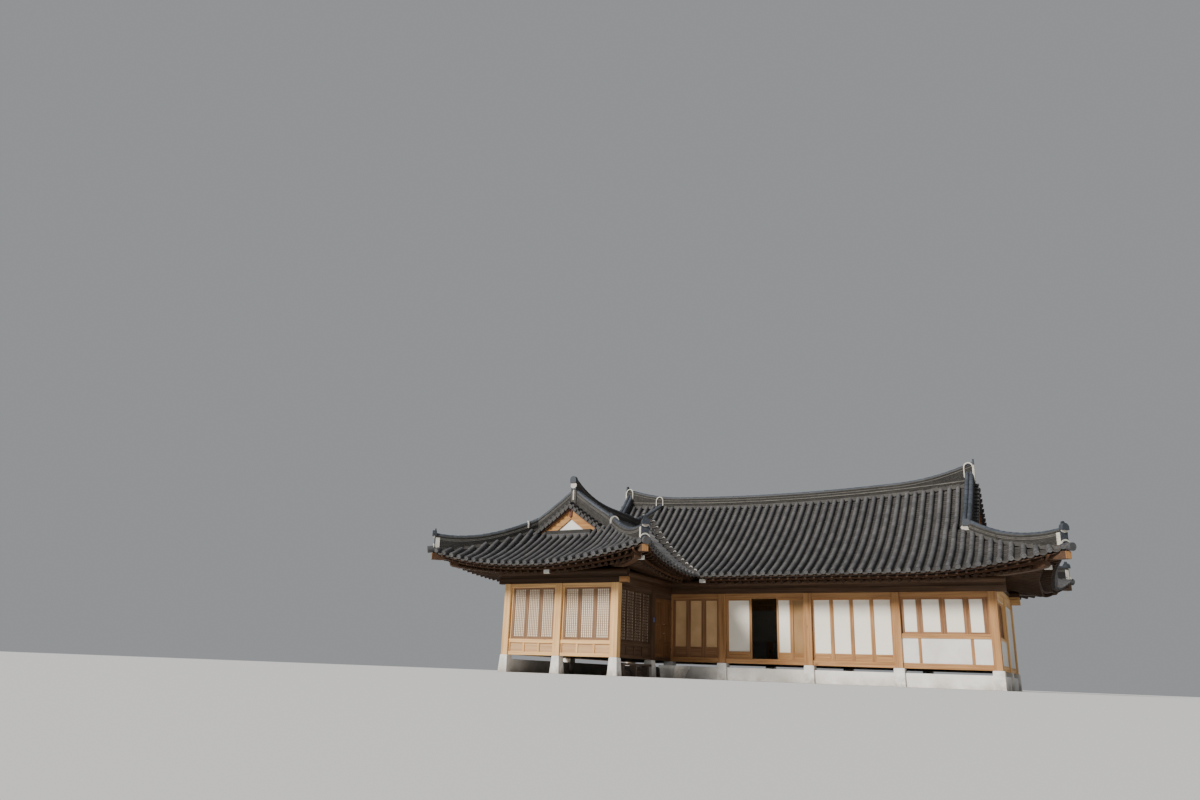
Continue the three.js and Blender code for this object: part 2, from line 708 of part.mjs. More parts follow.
function addGables() {
  const mainSurface = (x) => (y) => (
    y <= RIDGE_Y ? tileZ(sides.main, x, y) : tileZ(sides.main, x, 2 * RIDGE_Y - y));
  const rightFeet = [
    hip.rightFront(RIGHT_VERGE_X) - VERGE_FOOT_DOWN, hip.rightBack(RIGHT_VERGE_X) + VERGE_FOOT_DOWN];
  const rightPlace = (out, s, z) => [RIGHT_GABLE_X + out, s, z];
  const rightHips = [hipRidges.right_front, hipRidges.right_back];
  const rightSeat = tileZ(sides.right, RIGHT_TOP_X, RIDGE_Y) + GABLE_SEAT_UP;
  addGable('right', rightPlace, mainSurface(RIGHT_GABLE_X), RIDGE_Y, rightFeet, rightSeat, rightHips);
  const leftFeet = [
    LEFT_VERGE_X + VALLEY_LEFT + VALLEY_FOOT_CLEAR, hip.leftBack(LEFT_VERGE_X) + VERGE_FOOT_DOWN];
  const leftPlace = (out, s, z) => [LEFT_GABLE_X - out, s, z];
  const leftSeat = tileZ(sides.left, LEFT_TOP_X, RIDGE_Y) + GABLE_SEAT_UP;
  const leftHips = [hipRidges.left_back];
  addGable('left', leftPlace, mainSurface(LEFT_GABLE_X), RIDGE_Y, leftFeet, leftSeat, leftHips);
  const wingSurface = (x) => (
    tileZ(sides.left, x <= WING_X_MID ? x : WING_X - x, FRONT_GABLE_Y));
  const frontFeet = [FRONT_VERGE_Y - VERGE_FOOT_DOWN, WING_X - FRONT_VERGE_Y + VERGE_FOOT_DOWN];
  const frontPlace = (out, s, z) => [s, FRONT_GABLE_Y - out, z];
  const frontHips = [hipRidges.front_left, hipRidges.front_right];
  const frontSeat = tileZ(sides.front, WING_X_MID, FRONT_TOP_Y) + GABLE_SEAT_UP;
  addGable('front', frontPlace, wingSurface, WING_X_MID, frontFeet, frontSeat, frontHips);
}

// A beam along the top of one wall: a tie beam with the round purlin's block above it
function eaveBeam(axis, from, to, line, gap = 0) {
  const tie = [from, to, line - TIE_HALF, line + TIE_HALF, HEAD_TOP + gap, TIE_TOP + TIE_LAP];
  const purlin = [from, to, line - HALF_POST, line + HALF_POST, TIE_TOP, BEAM_TOP];
  const turn = ([a, b, c, d, e, f]) => (axis === 'x' ? block(a, b, c, d, e, f) : block(c, d, a, b, e, f));
  return join(turn(tie), turn(purlin));
}

function addEaveBeams() {
  add('courtyard_beam', eaveBeam('y', HALF_POST + FIT, MAIN_Y - HALF_POST - FIT, WING_X, FIT), darkTimber);
  add('main_front_beam', eaveBeam('x', WING_X - HALF_POST, END_X + BEAM_END, MAIN_Y, FIT), darkTimber);
}

function post(x, y) {
  return block(x - HALF_POST, x + HALF_POST, y - HALF_POST, y + HALF_POST, SILL_BOTTOM, HEAD_TOP);
}

// A panel of the timber frame between two posts: along is 'x' or 'y', line is its other coordinate
function panel(along, from, to, line, thick, z0, z1) {
  const a = line - thick / 2;
  const b = line + thick / 2;
  return along === 'x' ? block(from, to, a, b, z0, z1) : block(a, b, from, to, z0, z1);
}

// Door or window leaves: stiles and rails round sunk panes, all closed
function leaves(along, from, to, line, count, z0, paneBottom, paneTop, z1) {
  const width = (to - from) / count;
  const plate = panel(along, from, to, line, LEAF_THICK, z0, z1);
  const sinks = [];
  for (let i = 0; i < count; i += 1) {
    const a = from + i * width + LEAF_STILE;
    const b = from + (i + 1) * width - LEAF_STILE;
    for (const side of [-1, 1]) {
      const face = line + (side * LEAF_THICK) / 2;
      sinks.push(panel(along, a, b, face, PANE_SINK, paneBottom, paneTop));
    }
  }
  return cut(plate, ...sinks);
}

// Leaves that fill the height between a rail and a head
function windowLeaves(along, from, to, line, count, bottom, top) {
  return leaves(along, from, to, line, count, bottom + FIT, bottom + LEAF_STILE, top - LEAF_STILE, top - FIT);
}

function addWingFront() {
  const rails = (from, to) => [
    panel('x', from, to, 0, SILL_WIDTH, SILL_BOTTOM, SILL_TOP),
    panel('x', from, to, 0, APRON_THICK, SILL_TOP - LAP, APRON_TOP + LAP),
    panel('x', from, to, 0, SILL_WIDTH, APRON_TOP, RAIL_TOP),
    panel('x', from, to, 0, SILL_WIDTH, HEAD_BOTTOM, HEAD_TOP),
  ];
  const beam = eaveBeam('x', -BEAM_END, WING_X + BEAM_END, 0);
  const frame = join(post(0, 0), post(WING_MID_X, 0), post(WING_X, 0), ...rails(0, WING_X), beam);
  add('wing_front_frame', frame, timber);
  const bays = [[0, WING_MID_X], [WING_MID_X, WING_X]];
  bays.forEach(([a, b], i) => {
    const from = a + HALF_POST + FIT;
    const to = b - HALF_POST - FIT;
    add(`wing_front_leaves_${i + 1}`, windowLeaves('x', from, to, 0, 3, RAIL_TOP, HEAD_BOTTOM), paper);
  });
}

function addCourtyardSide() {
  const from = HALF_POST + FIT;
  const frame = join(
    post(WING_X, SIDE_POST_Y), ...postKnuckles(SIDE_POST_Y + HALF_POST, 1),
    panel('y', from, SIDE_POST_Y, WING_X, SILL_WIDTH, SILL_BOTTOM, SILL_TOP),
    panel('y', from, SIDE_POST_Y, WING_X, APRON_THICK, SILL_TOP - LAP, APRON_TOP + LAP),
    panel('y', from, SIDE_POST_Y, WING_X, SILL_WIDTH, APRON_TOP, RAIL_TOP),
    panel('y', from, SIDE_POST_Y, WING_X, SILL_WIDTH, HEAD_BOTTOM, HEAD_TOP),
  );
  add('courtyard_frame', frame, timber);
  const to = SIDE_POST_Y - HALF_POST - FIT;
  add('courtyard_leaves', windowLeaves('y', from, to, WING_X, 4, RAIL_TOP, HEAD_BOTTOM), darkTimber);
  addEntrance();
}

// The entrance: two panelled leaves that open outwards, each hung on the post beside it by two lift-off
// hinges. The knuckle on the post carries the knuckle on the leaf.
const DOOR_FROM = SIDE_POST_Y + HALF_POST + DOOR_SIDE_GAP;
const DOOR_TO = MAIN_Y - HALF_POST - DOOR_SIDE_GAP;
const DOOR_MIDDLE = (DOOR_FROM + DOOR_TO) / 2;
const DOOR_LINE = WING_X + HALF_POST / 2 + 5;

const HINGE_LINE = DOOR_LINE + DOOR_THICK / 2 + HINGE_OUT;

function knuckle(y, z) {
  const barrel = new THREE.CylinderGeometry(KNUCKLE_RADIUS, KNUCKLE_RADIUS, KNUCKLE_HEIGHT, 8);
  barrel.rotateX(Math.PI / 2);
  barrel.translate(HINGE_LINE, y, z + KNUCKLE_HEIGHT / 2);
  return barrel;
}

// Knuckles on a post's face: toLeaf is 1 where the leaf stands on the post's +Y side, -1 on its -Y side
function postKnuckles(face, toLeaf) {
  const axisY = face + toLeaf * HINGE_FROM_POST;
  const inner = Math.min(face - toLeaf, axisY);
  const outer = Math.max(face - toLeaf, axisY);
  const half = KNUCKLE_RADIUS;
  return HINGE_HEIGHTS.flatMap((z) => [
    knuckle(axisY, z - KNUCKLE_HEIGHT),
    block(HINGE_LINE - half, HINGE_LINE + half, inner, outer, z - KNUCKLE_HEIGHT, z),
  ]);
}

// The leaf's knuckles, each with a strap that lies on the leaf's outer face
function leafKnuckles(face, toLeaf) {
  const axisY = face + toLeaf * HINGE_FROM_POST;
  const reach = axisY + toLeaf * HINGE_STRAP;
  const front = DOOR_LINE + DOOR_THICK / 2;
  const z0 = (z) => z + FIT;
  return HINGE_HEIGHTS.flatMap((z) => [
    knuckle(axisY, z0(z)),
    block(front - LAP, front + HINGE_STRAP_THICK,
      Math.min(axisY + toLeaf * LAP, reach), Math.max(axisY + toLeaf * LAP, reach),
      z0(z), z0(z) + KNUCKLE_HEIGHT),
    block(front, HINGE_LINE,
      Math.min(axisY, axisY + 2 * toLeaf * LAP), Math.max(axisY, axisY + 2 * toLeaf * LAP),
      z0(z), z0(z) + KNUCKLE_HEIGHT),
  ]);
}

function doorLeaf(from, to) {
  const z0 = SILL_TOP + DOOR_GAP;
  const z1 = HEAD_BOTTOM - DOOR_GAP;
  const plate = panel('y', from, to, DOOR_LINE, DOOR_THICK, z0, z1);
  const fields = [
    [z0 + DOOR_RAIL, DOOR_LOW_FIELD_TOP],
    [DOOR_LOW_FIELD_TOP + DOOR_RAIL, DOOR_TOP_FIELD_BOTTOM - DOOR_RAIL],
    [DOOR_TOP_FIELD_BOTTOM, z1 - DOOR_RAIL],
  ];
  const sinks = [];
  for (const [a, b] of fields) {
    for (const side of [-1, 1]) {
      const line = DOOR_LINE + side * (DOOR_THICK / 2);
      sinks.push(panel('y', from + DOOR_STILE, to - DOOR_STILE, line, DOOR_SINK, a, b));
    }
  }
  return cut(plate, ...sinks);
}

function addEntrance() {
  const from = SIDE_POST_Y + HALF_POST + FIT;
  const to = MAIN_Y - HALF_POST - FIT;
  add('entrance_sill', panel('y', from, to, WING_X, SILL_WIDTH, SILL_BOTTOM, SILL_TOP), timber);
  add('entrance_head', panel('y', from, to, WING_X, SILL_WIDTH, HEAD_BOTTOM, HEAD_TOP), timber);
  const meet = DOOR_MEET_GAP / 2;
  const left = join(doorLeaf(DOOR_FROM, DOOR_MIDDLE - meet), ...leafKnuckles(SIDE_POST_Y + HALF_POST, 1));
  const right = join(doorLeaf(DOOR_MIDDLE + meet, DOOR_TO), ...leafKnuckles(MAIN_Y - HALF_POST, -1));
  add('entrance_door_left', left, timber);
  add('entrance_door_right', right, timber);
  addDoorPull(DOOR_MIDDLE + meet + DOOR_STILE / 2);
}

// An upright bar on two short arms
function addDoorPull(y) {
  const face = DOOR_LINE + DOOR_THICK / 2 + FIT;
  const half = PULL_ARM_HALF;
  const arm = (z) => block(face, face + PULL_OUT - half, y - half, y + half, z - half, z + half);
  const bar = block(
    face + PULL_OUT - PULL_BAR_THICK, face + PULL_OUT,
    y - PULL_BAR_HALF, y + PULL_BAR_HALF, PULL_LOW - PULL_END, PULL_HIGH + PULL_END);
  const pull = join(arm(PULL_LOW), arm(PULL_HIGH), bar);
  add('entrance_door_pull', pull, steel);
}

// Main wing's front: bay A of three leaves, bay B with the open doorway, bays C and D with leaves
function addMainFront() {
  const sill = (from, to) => panel('x', from, to, MAIN_Y, SILL_WIDTH, SILL_BOTTOM, MAIN_SILL_TOP);
  const head = (from, to) => panel('x', from, to, MAIN_Y, SILL_WIDTH, MAIN_HEAD_BOTTOM, HEAD_TOP);
  const edge = HALF_POST + FIT;
  const bottom = MAIN_SILL_TOP + FIT;
  const top = MAIN_HEAD_BOTTOM - FIT;
  const set = (from, to, count) => leaves('x', from, to, MAIN_Y, count, bottom, RAIL_TOP, top - LEAF_STILE, top);

  const bayA = [post(WING_X, MAIN_Y), post(POST_2_X, MAIN_Y), sill(WING_X, POST_2_X), head(WING_X, POST_2_X)];
  add('bay_a_frame', join(...bayA, ...postKnuckles(MAIN_Y - HALF_POST, -1)), timber);
  add('bay_a_leaves', set(WING_X + edge, POST_2_X - edge, 3), timber);

  add('bay_b_sill', sill(POST_2_X + edge, POST_3_X - edge), timber);
  add('bay_b_head', head(POST_2_X + edge, POST_3_X - edge), timber);
  add('bay_b_left_leaf', set(POST_2_X + edge, DOOR_OPEN_FROM, 1), paper);
  add('bay_b_right_leaves', set(DOOR_OPEN_TO, POST_3_X - edge, 2), paper);

  const railBottom = BAY_D_RAIL_TOP - BAY_D_RAIL_DEPTH;
  const baysCD = join(
    post(POST_3_X, MAIN_Y), post(POST_4_X, MAIN_Y), post(END_X, MAIN_Y),
    sill(POST_3_X, END_X), head(POST_3_X, END_X),
    panel('x', POST_4_X, END_X, MAIN_Y, WALL, MAIN_SILL_TOP - LAP, railBottom + LAP),
    panel('x', POST_4_X, END_X, MAIN_Y, SILL_WIDTH, railBottom, BAY_D_RAIL_TOP),
  );
  add('bays_cd_frame', baysCD, timber);
  add('bay_c_leaves', set(POST_3_X + edge, POST_4_X - edge, 4), paper);
  const from = POST_4_X + edge;
  const to = END_X - edge;
  add('bay_d_window', windowLeaves('x', from, to, MAIN_Y, 4, BAY_D_RAIL_TOP, MAIN_HEAD_BOTTOM), paper);
}

// A plain wall for a side the front doesn't show: posts, sill, head and plaster with windows cut through
function plainWall(along, from, to, line, posts, windows, beamEnd) {
  const at = (s) => (along === 'x' ? post(s, line) : post(line, s));
  const wall = join(
    panel(along, from, to, line, WALL, SILL_TOP - LAP, MAIN_HEAD_BOTTOM + LAP),
    panel(along, from, to, line, SILL_WIDTH, SILL_BOTTOM, MAIN_SILL_TOP),
    panel(along, from, to, line, SILL_WIDTH, MAIN_HEAD_BOTTOM, HEAD_TOP),
    ...posts.map(at),
    eaveBeam(along, from - beamEnd, to + beamEnd, line),
  );
  const through = 2 * SILL_WIDTH;
  const hole = (a) => panel(along, a, a + WINDOW_WIDTH, line, through, WINDOW_BOTTOM, WINDOW_TOP);
  return cut(wall, ...windows.map(hole));
}

function screens(along, line, inside, windows) {
  const from = windows[0] - SCREEN_LAP;
  const to = windows[windows.length - 1] + WINDOW_WIDTH + SCREEN_LAP;
  const middle = line + inside * (HALF_POST + FIT + SCREEN_THICK / 2);
  return panel(along, from, to, middle, SCREEN_THICK, WINDOW_BOTTOM - SCREEN_LAP, WINDOW_TOP + SCREEN_LAP);
}

function addPlainSides() {
  const far = HALF_POST + FIT;
  const right = plainWall('y', MAIN_Y + far, BACK_Y - far, END_X, [RIDGE_Y], RIGHT_WINDOWS_FROM, 0);
  add('right_wall', right, plaster);
  add('right_window_screen', screens('y', END_X, -1, RIGHT_WINDOWS_FROM), paper);
  const backPosts = [0, WING_X, POST_2_X, POST_3_X, POST_4_X, END_X];
  add('back_wall', plainWall('x', 0, END_X, BACK_Y, backPosts, BACK_WINDOWS_FROM, BEAM_END), plaster);
  add('back_window_screen', screens('x', BACK_Y, -1, BACK_WINDOWS_FROM), paper);
  const left = plainWall('y', far, BACK_Y - far, 0, [MAIN_Y], LEFT_WINDOWS_FROM, 0);
  add('left_wall', left, plaster);
  add('left_window_screen', screens('y', 0, 1, LEFT_WINDOWS_FROM), paper);
}

function taperedPlinth(x, y, footHalf = PLINTH_FOOT_HALF) {
  const square = (h, z) => [[x - h, y - h, z], [x + h, y - h, z], [x + h, y + h, z], [x - h, y + h, z]];
  return quadStack([square(footHalf, 0), square(PLINTH_TOP_HALF, PLINTH_TOP)]);
}

function quadStack(rings) {
  const geometry = new THREE.BufferGeometry();
  geometry.setAttribute('position', new THREE.Float32BufferAttribute(rings.flat(2), 3));
  const index = [0, 2, 1, 0, 3, 2, 4, 5, 6, 4, 6, 7];
  for (let i = 0; i < 4; i += 1) {
    const j = (i + 1) % 4;
    index.push(i, j, j + 4, i, j + 4, i + 4);
  }
  geometry.setIndex(index);
  return outward(geometry);
}

function addBase() {
  add('plinth_front_left', taperedPlinth(0, 0), granite);
  add('plinth_front_middle', taperedPlinth(WING_MID_X, 0), granite);
  add('plinth_front_right', taperedPlinth(WING_X, 0), granite);
  add('plinth_courtyard', taperedPlinth(WING_X, SIDE_POST_Y), granite);
  const run = (x0, x1, y0, y1) => block(x0, x1, y0, y1, 0, FOUNDATION_TOP);
  const half = FOUNDATION / 2;
  const stone = (x, y) => taperedPlinth(x, y, FOOTING_HALF);
  const main = join(
    run(WING_X - half, END_X + half, MAIN_Y - half, MAIN_Y + half),
    stone(WING_X, MAIN_Y), stone(POST_2_X, MAIN_Y), stone(POST_3_X, MAIN_Y), stone(POST_4_X, MAIN_Y),
    stone(END_X, MAIN_Y),
  );
  add('foundation_front', main, plaster);
  const around = join(
    run(END_X - half, END_X + half, MAIN_Y + FOOTING_HALF + LAP, BACK_Y + half),
    run(-half, END_X + half, BACK_Y - half, BACK_Y + half),
    run(-half, half, PLINTH_FOOT_HALF + LAP / 2, BACK_Y + half),
    stone(END_X, RIDGE_Y), stone(END_X, BACK_Y), stone(POST_4_X, BACK_Y), stone(POST_3_X, BACK_Y),
    stone(POST_2_X, BACK_Y), stone(WING_X, BACK_Y), stone(0, BACK_Y), stone(0, MAIN_Y),
  );
  add('foundation_back', around, plaster);
  const clear = HALF_POST + FIT;
  const floor = join(
    block(clear, WING_X - clear, clear, MAIN_Y + clear + LAP, FLOOR_BOTTOM, FLOOR_TOP),
    block(clear, END_X - clear, MAIN_Y + clear, BACK_Y - clear, FLOOR_BOTTOM, FLOOR_TOP),
  );
  add('floor', floor, timber);
}

// A stone step with a body that tapers to its foot, and a plank bench under the edge of the wing
function addStepAndBench() {
  const near = WING_X + STEP_AWAY;
  const stepFar = near + STEP_WIDTH;
  const slabBottom = STEP_TOP - STEP_SLAB;
  const ring = (inset, z) => [
    [near + LAP, STEP_FROM + inset, z], [stepFar - inset, STEP_FROM + inset, z],
    [stepFar - inset, STEP_TO - inset, z], [near + LAP, STEP_TO - inset, z]];
  const step = join(
    block(near, stepFar, STEP_FROM, STEP_TO, slabBottom, STEP_TOP),
    quadStack([ring(STEP_FOOT_IN, 0), ring(STEP_NECK_IN, slabBottom + LAP)]),
  );
  add('entrance_step', step, granite);

  const benchNear = WING_X - BENCH_UNDER_WALL;
  const benchFar = benchNear + BENCH_WIDTH;
  const plankBottom = BENCH_TOP - BENCH_PLANK;
  const legX = benchNear + BENCH_IN;
  const firstLeg = BENCH_FROM + BENCH_IN;
  const lastLeg = BENCH_TO - BENCH_IN - BENCH_LEG;
  const leg = (y) => block(legX, benchFar - BENCH_IN, y, y + BENCH_LEG, 0, plankBottom + LAP);
  const bench = join(
    block(benchNear, benchFar, BENCH_FROM, BENCH_TO, plankBottom, BENCH_TOP),
    leg(firstLeg), leg((firstLeg + lastLeg) / 2), leg(lastLeg),
    block(legX, legX + BENCH_STRETCHER, firstLeg, lastLeg + BENCH_LEG, 0, BENCH_STRETCHER_TOP),
  );
  add('courtyard_bench', bench, timber);
}

addBase();
addStepAndBench();
addWingFront();
addCourtyardSide();
addMainFront();
addPlainSides();
addEaveBeams();
addRoofSlabs();
addMainRidge();
addWingRidge();
addCorner('front_left', [-TIP, -TIP], [1, 1], sides.front, FRONT_GABLE_Y - EAVE_FRONT);
addCorner('front_right', [WING_X + TIP, -TIP], [-1, 1], sides.front, FRONT_GABLE_Y - EAVE_FRONT);
addCorner('right_front', [END_X + TIP, MAIN_Y - TIP], [-1, 1], sides.right, EAVE_RIGHT - RIGHT_GABLE_X);
addCorner('right_back', [END_X + TIP, BACK_Y + TIP], [-1, -1], sides.right, EAVE_RIGHT - RIGHT_GABLE_X);
addCorner('left_back', [-TIP, BACK_Y + TIP], [1, -1], sides.back, LEFT_GABLE_X - EAVE_LEFT);
addGables();

// The part's origin: the middle of its plan, on the ground
house.position.set(-END_X / 2, -BACK_Y / 2, 0);

export default house;
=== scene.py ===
# A traditional L-shaped timber house with a tiled hip-and-gable roof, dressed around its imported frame.
# Everything is in metres. Plan places are measured from the centre of the front wing's front left post.
import math
import random

import bmesh
import bpy
import numpy as np
from mathutils import Matrix, Vector


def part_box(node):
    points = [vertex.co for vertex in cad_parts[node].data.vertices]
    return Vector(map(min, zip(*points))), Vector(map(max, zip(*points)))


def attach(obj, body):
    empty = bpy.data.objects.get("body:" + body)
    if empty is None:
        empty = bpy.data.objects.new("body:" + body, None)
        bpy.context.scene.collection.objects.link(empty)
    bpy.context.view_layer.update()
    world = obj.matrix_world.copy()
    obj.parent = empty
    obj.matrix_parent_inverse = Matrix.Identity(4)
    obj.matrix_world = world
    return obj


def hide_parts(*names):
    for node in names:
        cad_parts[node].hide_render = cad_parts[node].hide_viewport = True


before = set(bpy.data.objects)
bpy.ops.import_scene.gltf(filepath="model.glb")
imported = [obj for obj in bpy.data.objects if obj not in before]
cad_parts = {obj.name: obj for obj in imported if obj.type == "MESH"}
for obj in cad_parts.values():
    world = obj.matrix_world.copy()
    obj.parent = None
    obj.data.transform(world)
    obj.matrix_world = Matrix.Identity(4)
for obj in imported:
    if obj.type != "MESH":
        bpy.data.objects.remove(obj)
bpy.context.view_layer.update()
scene = bpy.context.scene
chance = random.Random(7)


# Places in plan, read from the frame
def middle(node):
    low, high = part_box(node)
    return (low + high) / 2


HOME = middle("plinth_front_left")
HOME.z = 0.0


def plan(node):
    return middle(node) - HOME


HALF_POST = 0.13
WINDOW_INSET = 0.1303
WING_X = plan("plinth_front_right").x
WING_MID_X = plan("plinth_front_middle").x
SIDE_POST_Y = plan("plinth_courtyard").y
MAIN_Y = plan("main_front_beam").y
END_X = plan("right_wall").x
BACK_Y = plan("back_wall").y
POST_2_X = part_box("bay_a_frame")[1].x - HOME.x - HALF_POST
POST_3_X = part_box("bays_cd_frame")[0].x - HOME.x + HALF_POST
POST_4_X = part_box("bay_d_window")[0].x - HOME.x - WINDOW_INSET
RIDGE_Y = plan("main_ridge").y
WING_RIDGE_X = WING_X / 2
JOIN_X = WING_RIDGE_X + 0.45

# Heights of the timber frame
SILL_BOTTOM = 0.588
SILL_TOP = 0.70
RAIL_BOTTOM = 1.00
RAIL_TOP = 1.13
HEAD_BOTTOM = 2.78
WING_HEAD = 2.89
HEAD_TOP = 3.03
MAIN_SILL_TOP = 0.76
MAIN_HEAD_BOTTOM = 2.85
TIE_TOP = 3.22
PLATE_TOP = 3.335
PURLIN_Z = 3.415
PURLIN_RADIUS = 0.119

# Roof form, as in the frame; the three powers say how far back a corner's lift begins
OVERHANG = 1.725
CORNER_OUT = 0.45
TIP = OVERHANG + CORNER_OUT
EAVE_Z = 3.53
SLOPE = 0.45
CURVE = 0.0656
LIFT = 0.78
LIFT_REACH = 4.3
LIFT_FADE = 4.0
STEEP = 2.5
BROAD = 1.6
EVEN = 2.0
MOUND = 0.21
TIP_REACH = 0.32
MOUND_REACH = 1.1
MOUND_TOP = 2.75
EAVE_REACH = 2.6
EAVE_COURT = WING_X + OVERHANG
EAVE_MAIN = MAIN_Y - OVERHANG
EAVE_RIGHT = END_X + OVERHANG
EAVE_BACK = BACK_Y + OVERHANG
MAIN_RUN = RIDGE_Y - EAVE_MAIN
WING_RUN = WING_RIDGE_X + OVERHANG
MIDDLE_X = 8.01
GABLE_FRONT = 0.54
GABLE_RIGHT = 15.0
GABLE_LEFT = 1.04
VERGE_IN = 0.295
RIDGE_HALF = 0.12
HIP_CLEAR = RIDGE_HALF * math.sqrt(2)
GABLE_FACE = 0.10

# How the ridges and upper slopes bend: the main ones rise to their ends, and the wing's lie flatter
MAIN_SAG = 0.22
SAG_START = 2.0
WING_FLAT = 0.40
WING_FLAT_START = 1.7

# Stretches of the eaves' underside, from the top down: where each begins, its height there and its rise
EAVE_BOARDS = ((1.72, 3.6825, 0.40), (0.45, 3.365, 0.25), (0.12, 3.4575, 0.197))

# Tiles
ROW_PITCH = 0.30
ROW_START = 2.918
COVER_STEP = 0.29
CHANNEL_STEP = 0.125
COVER_RADIUS = 0.080
COVER_LENGTH = 0.345
CHANNEL_HALF = 0.152
CHANNEL_DEPTH = 0.072
CHANNEL_LENGTH = 0.17
CHANNEL_TILT = 0.010
DRIP_HALF = 0.148
DRIP_THICK = 0.016
TILE_THICK = 0.019
BED_DOWN = 0.125
ROW_UP = 0.045
VALLEY_GAP = 0.30
CHANNEL_GAP = 0.12
SHORTEST_ROW = 0.10
UPRIGHT = Vector((0, 0, 1))


# Small shaping helpers
def ring_faces(count, rings):
    """The faces of a tube of rings with this many points each, and of its two ends."""
    faces = []
    for r in range(rings - 1):
        for i in range(count):
            j = (i + 1) % count
            faces.append((r * count + i, r * count + j, (r + 1) * count + j, (r + 1) * count + i))
    faces.append(tuple(reversed(range(count))))
    faces.append(tuple((rings - 1) * count + i for i in range(count)))
    return faces


class Shape:
    """Faces of one piece in plan metres, with the place of every point along its own grain."""

    def __init__(self):
        self.points = []
        self.faces = []
        self.grain = []

    def add(self, points, faces, along="x"):
        first = len(self.points)
        jump = Vector((chance.uniform(0, 40), chance.uniform(0, 9), chance.uniform(0, 9)))
        order = {"x": (0, 1, 2), "y": (1, 0, 2), "z": (2, 0, 1)}[along]
        for p in points:
            self.points.append(tuple(p))
            self.grain.append(tuple(p[k] + jump[i] for i, k in enumerate(order)))
        for face in faces:
            self.faces.append(tuple(first + i for i in face))

    def block(self, x0, x1, y0, y1, z0, z1, along=None):
        sizes = {"x": x1 - x0, "y": y1 - y0, "z": z1 - z0}
        if along is None:
            along = max(sizes, key=sizes.get)
        points = [(x, y, z) for z in (z0, z1) for y in (y0, y1) for x in (x0, x1)]
        faces = [(0, 2, 3, 1), (4, 5, 7, 6), (0, 1, 5, 4), (2, 6, 7, 3), (0, 4, 6, 2), (1, 3, 7, 5)]
        self.add(points, faces, along)

    def loft(self, rings, along="x"):
        self.add([p for ring in rings for p in ring], ring_faces(len(rings[0]), len(rings)), along)

    def mesh(self, name):
        mesh = bpy.data.meshes.new(name)
        shifted = [(x + HOME.x, y + HOME.y, z) for x, y, z in self.points]
        mesh.from_pydata(shifted, [], self.faces)
        kept = mesh.attributes.new("grain", "FLOAT_VECTOR", "POINT")
        kept.data.foreach_set("vector", np.array(self.grain, np.float32).ravel())
        return mesh


def turned_out(mesh):
    """Points every face of a closed mesh outwards."""
    work = bmesh.new()
    work.from_mesh(mesh)
    bmesh.ops.recalc_face_normals(work, faces=work.faces)
    work.to_mesh(mesh)
    work.free()
    return mesh


def piece(name, mesh, material, slot, body="house", replaces=(), bevel=0.0, smooth=None):
    """Makes a finished piece of a mesh that is already in the row frame."""
    turned_out(mesh)
    thing = bpy.data.objects.new(name, mesh)
    scene.collection.objects.link(thing)
    if material is not None:
        mesh.materials.clear()
        mesh.materials.append(material)
    if smooth is not None:
        mesh.shade_smooth()
        mesh.set_sharp_from_angle(angle=math.radians(smooth))
    if bevel:
        edge = thing.modifiers.new("worn edge", "BEVEL")
        edge.width = bevel
        edge.segments = 1
        edge.limit_method = "ANGLE"
        edge.angle_limit = math.radians(40)
    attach(thing, body)
    if replaces:
        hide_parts(*replaces)
    return thing


def spread(low, high, count):
    return [low + (high - low) * i / count for i in range(count + 1)]


# Shared effects, as node groups
class Net:
    """A node tree with short calls for its nodes and links."""

    def __init__(self, tree):
        self.tree = tree

    def node(self, kind, **values):
        made = self.tree.nodes.new(kind)
        inputs = values.pop("inputs", {})
        for key, value in values.items():
            setattr(made, key, value)
        for key, value in inputs.items():
            self.feed(made, key, value)
        return made

    def feed(self, node, key, value):
        if isinstance(value, bpy.types.NodeSocket):
            self.tree.links.new(value, node.inputs[key])
        else:
            node.inputs[key].default_value = value

    def math(self, operation, *values):
        made = self.node("ShaderNodeMath", operation=operation, inputs=dict(enumerate(values)))
        return made.outputs[0]

    def stretched(self, vector, scale):
        return self.node("ShaderNodeMapping", inputs={"Vector": vector, "Scale": scale}).outputs[0]

    def mixed(self, factor, a, b):
        return self.node("ShaderNodeMix", data_type="RGBA", inputs={0: factor, 6: a, 7: b}).outputs[2]

    def ranged(self, value, low, high, to_low=0.0, to_high=1.0):
        return self.node("ShaderNodeMapRange", inputs={
            "Value": value, "From Min": low, "From Max": high, "To Min": to_low,
            "To Max": to_high}).outputs["Result"]

    def noise(self, vector, scale, detail, rough=0.5):
        return self.node("ShaderNodeTexNoise", inputs={
            "Vector": vector, "Scale": scale, "Detail": detail, "Roughness": rough}).outputs["Fac"]


def shader_group(name, inputs, outputs):
    tree = bpy.data.node_groups.new(name, "ShaderNodeTree")
    for label, value in inputs.items():
        kind = "NodeSocketColor" if isinstance(value, tuple) else "NodeSocketFloat"
        tree.interface.new_socket(label, in_out="INPUT", socket_type=kind).default_value = value
    for label in outputs:
        kind = "NodeSocketColor" if label == "Color" else "NodeSocketFloat"
        tree.interface.new_socket(label, in_out="OUTPUT", socket_type=kind)
    net = Net(tree)
    return net, net.node("NodeGroupInput").outputs, net.node("NodeGroupOutput")


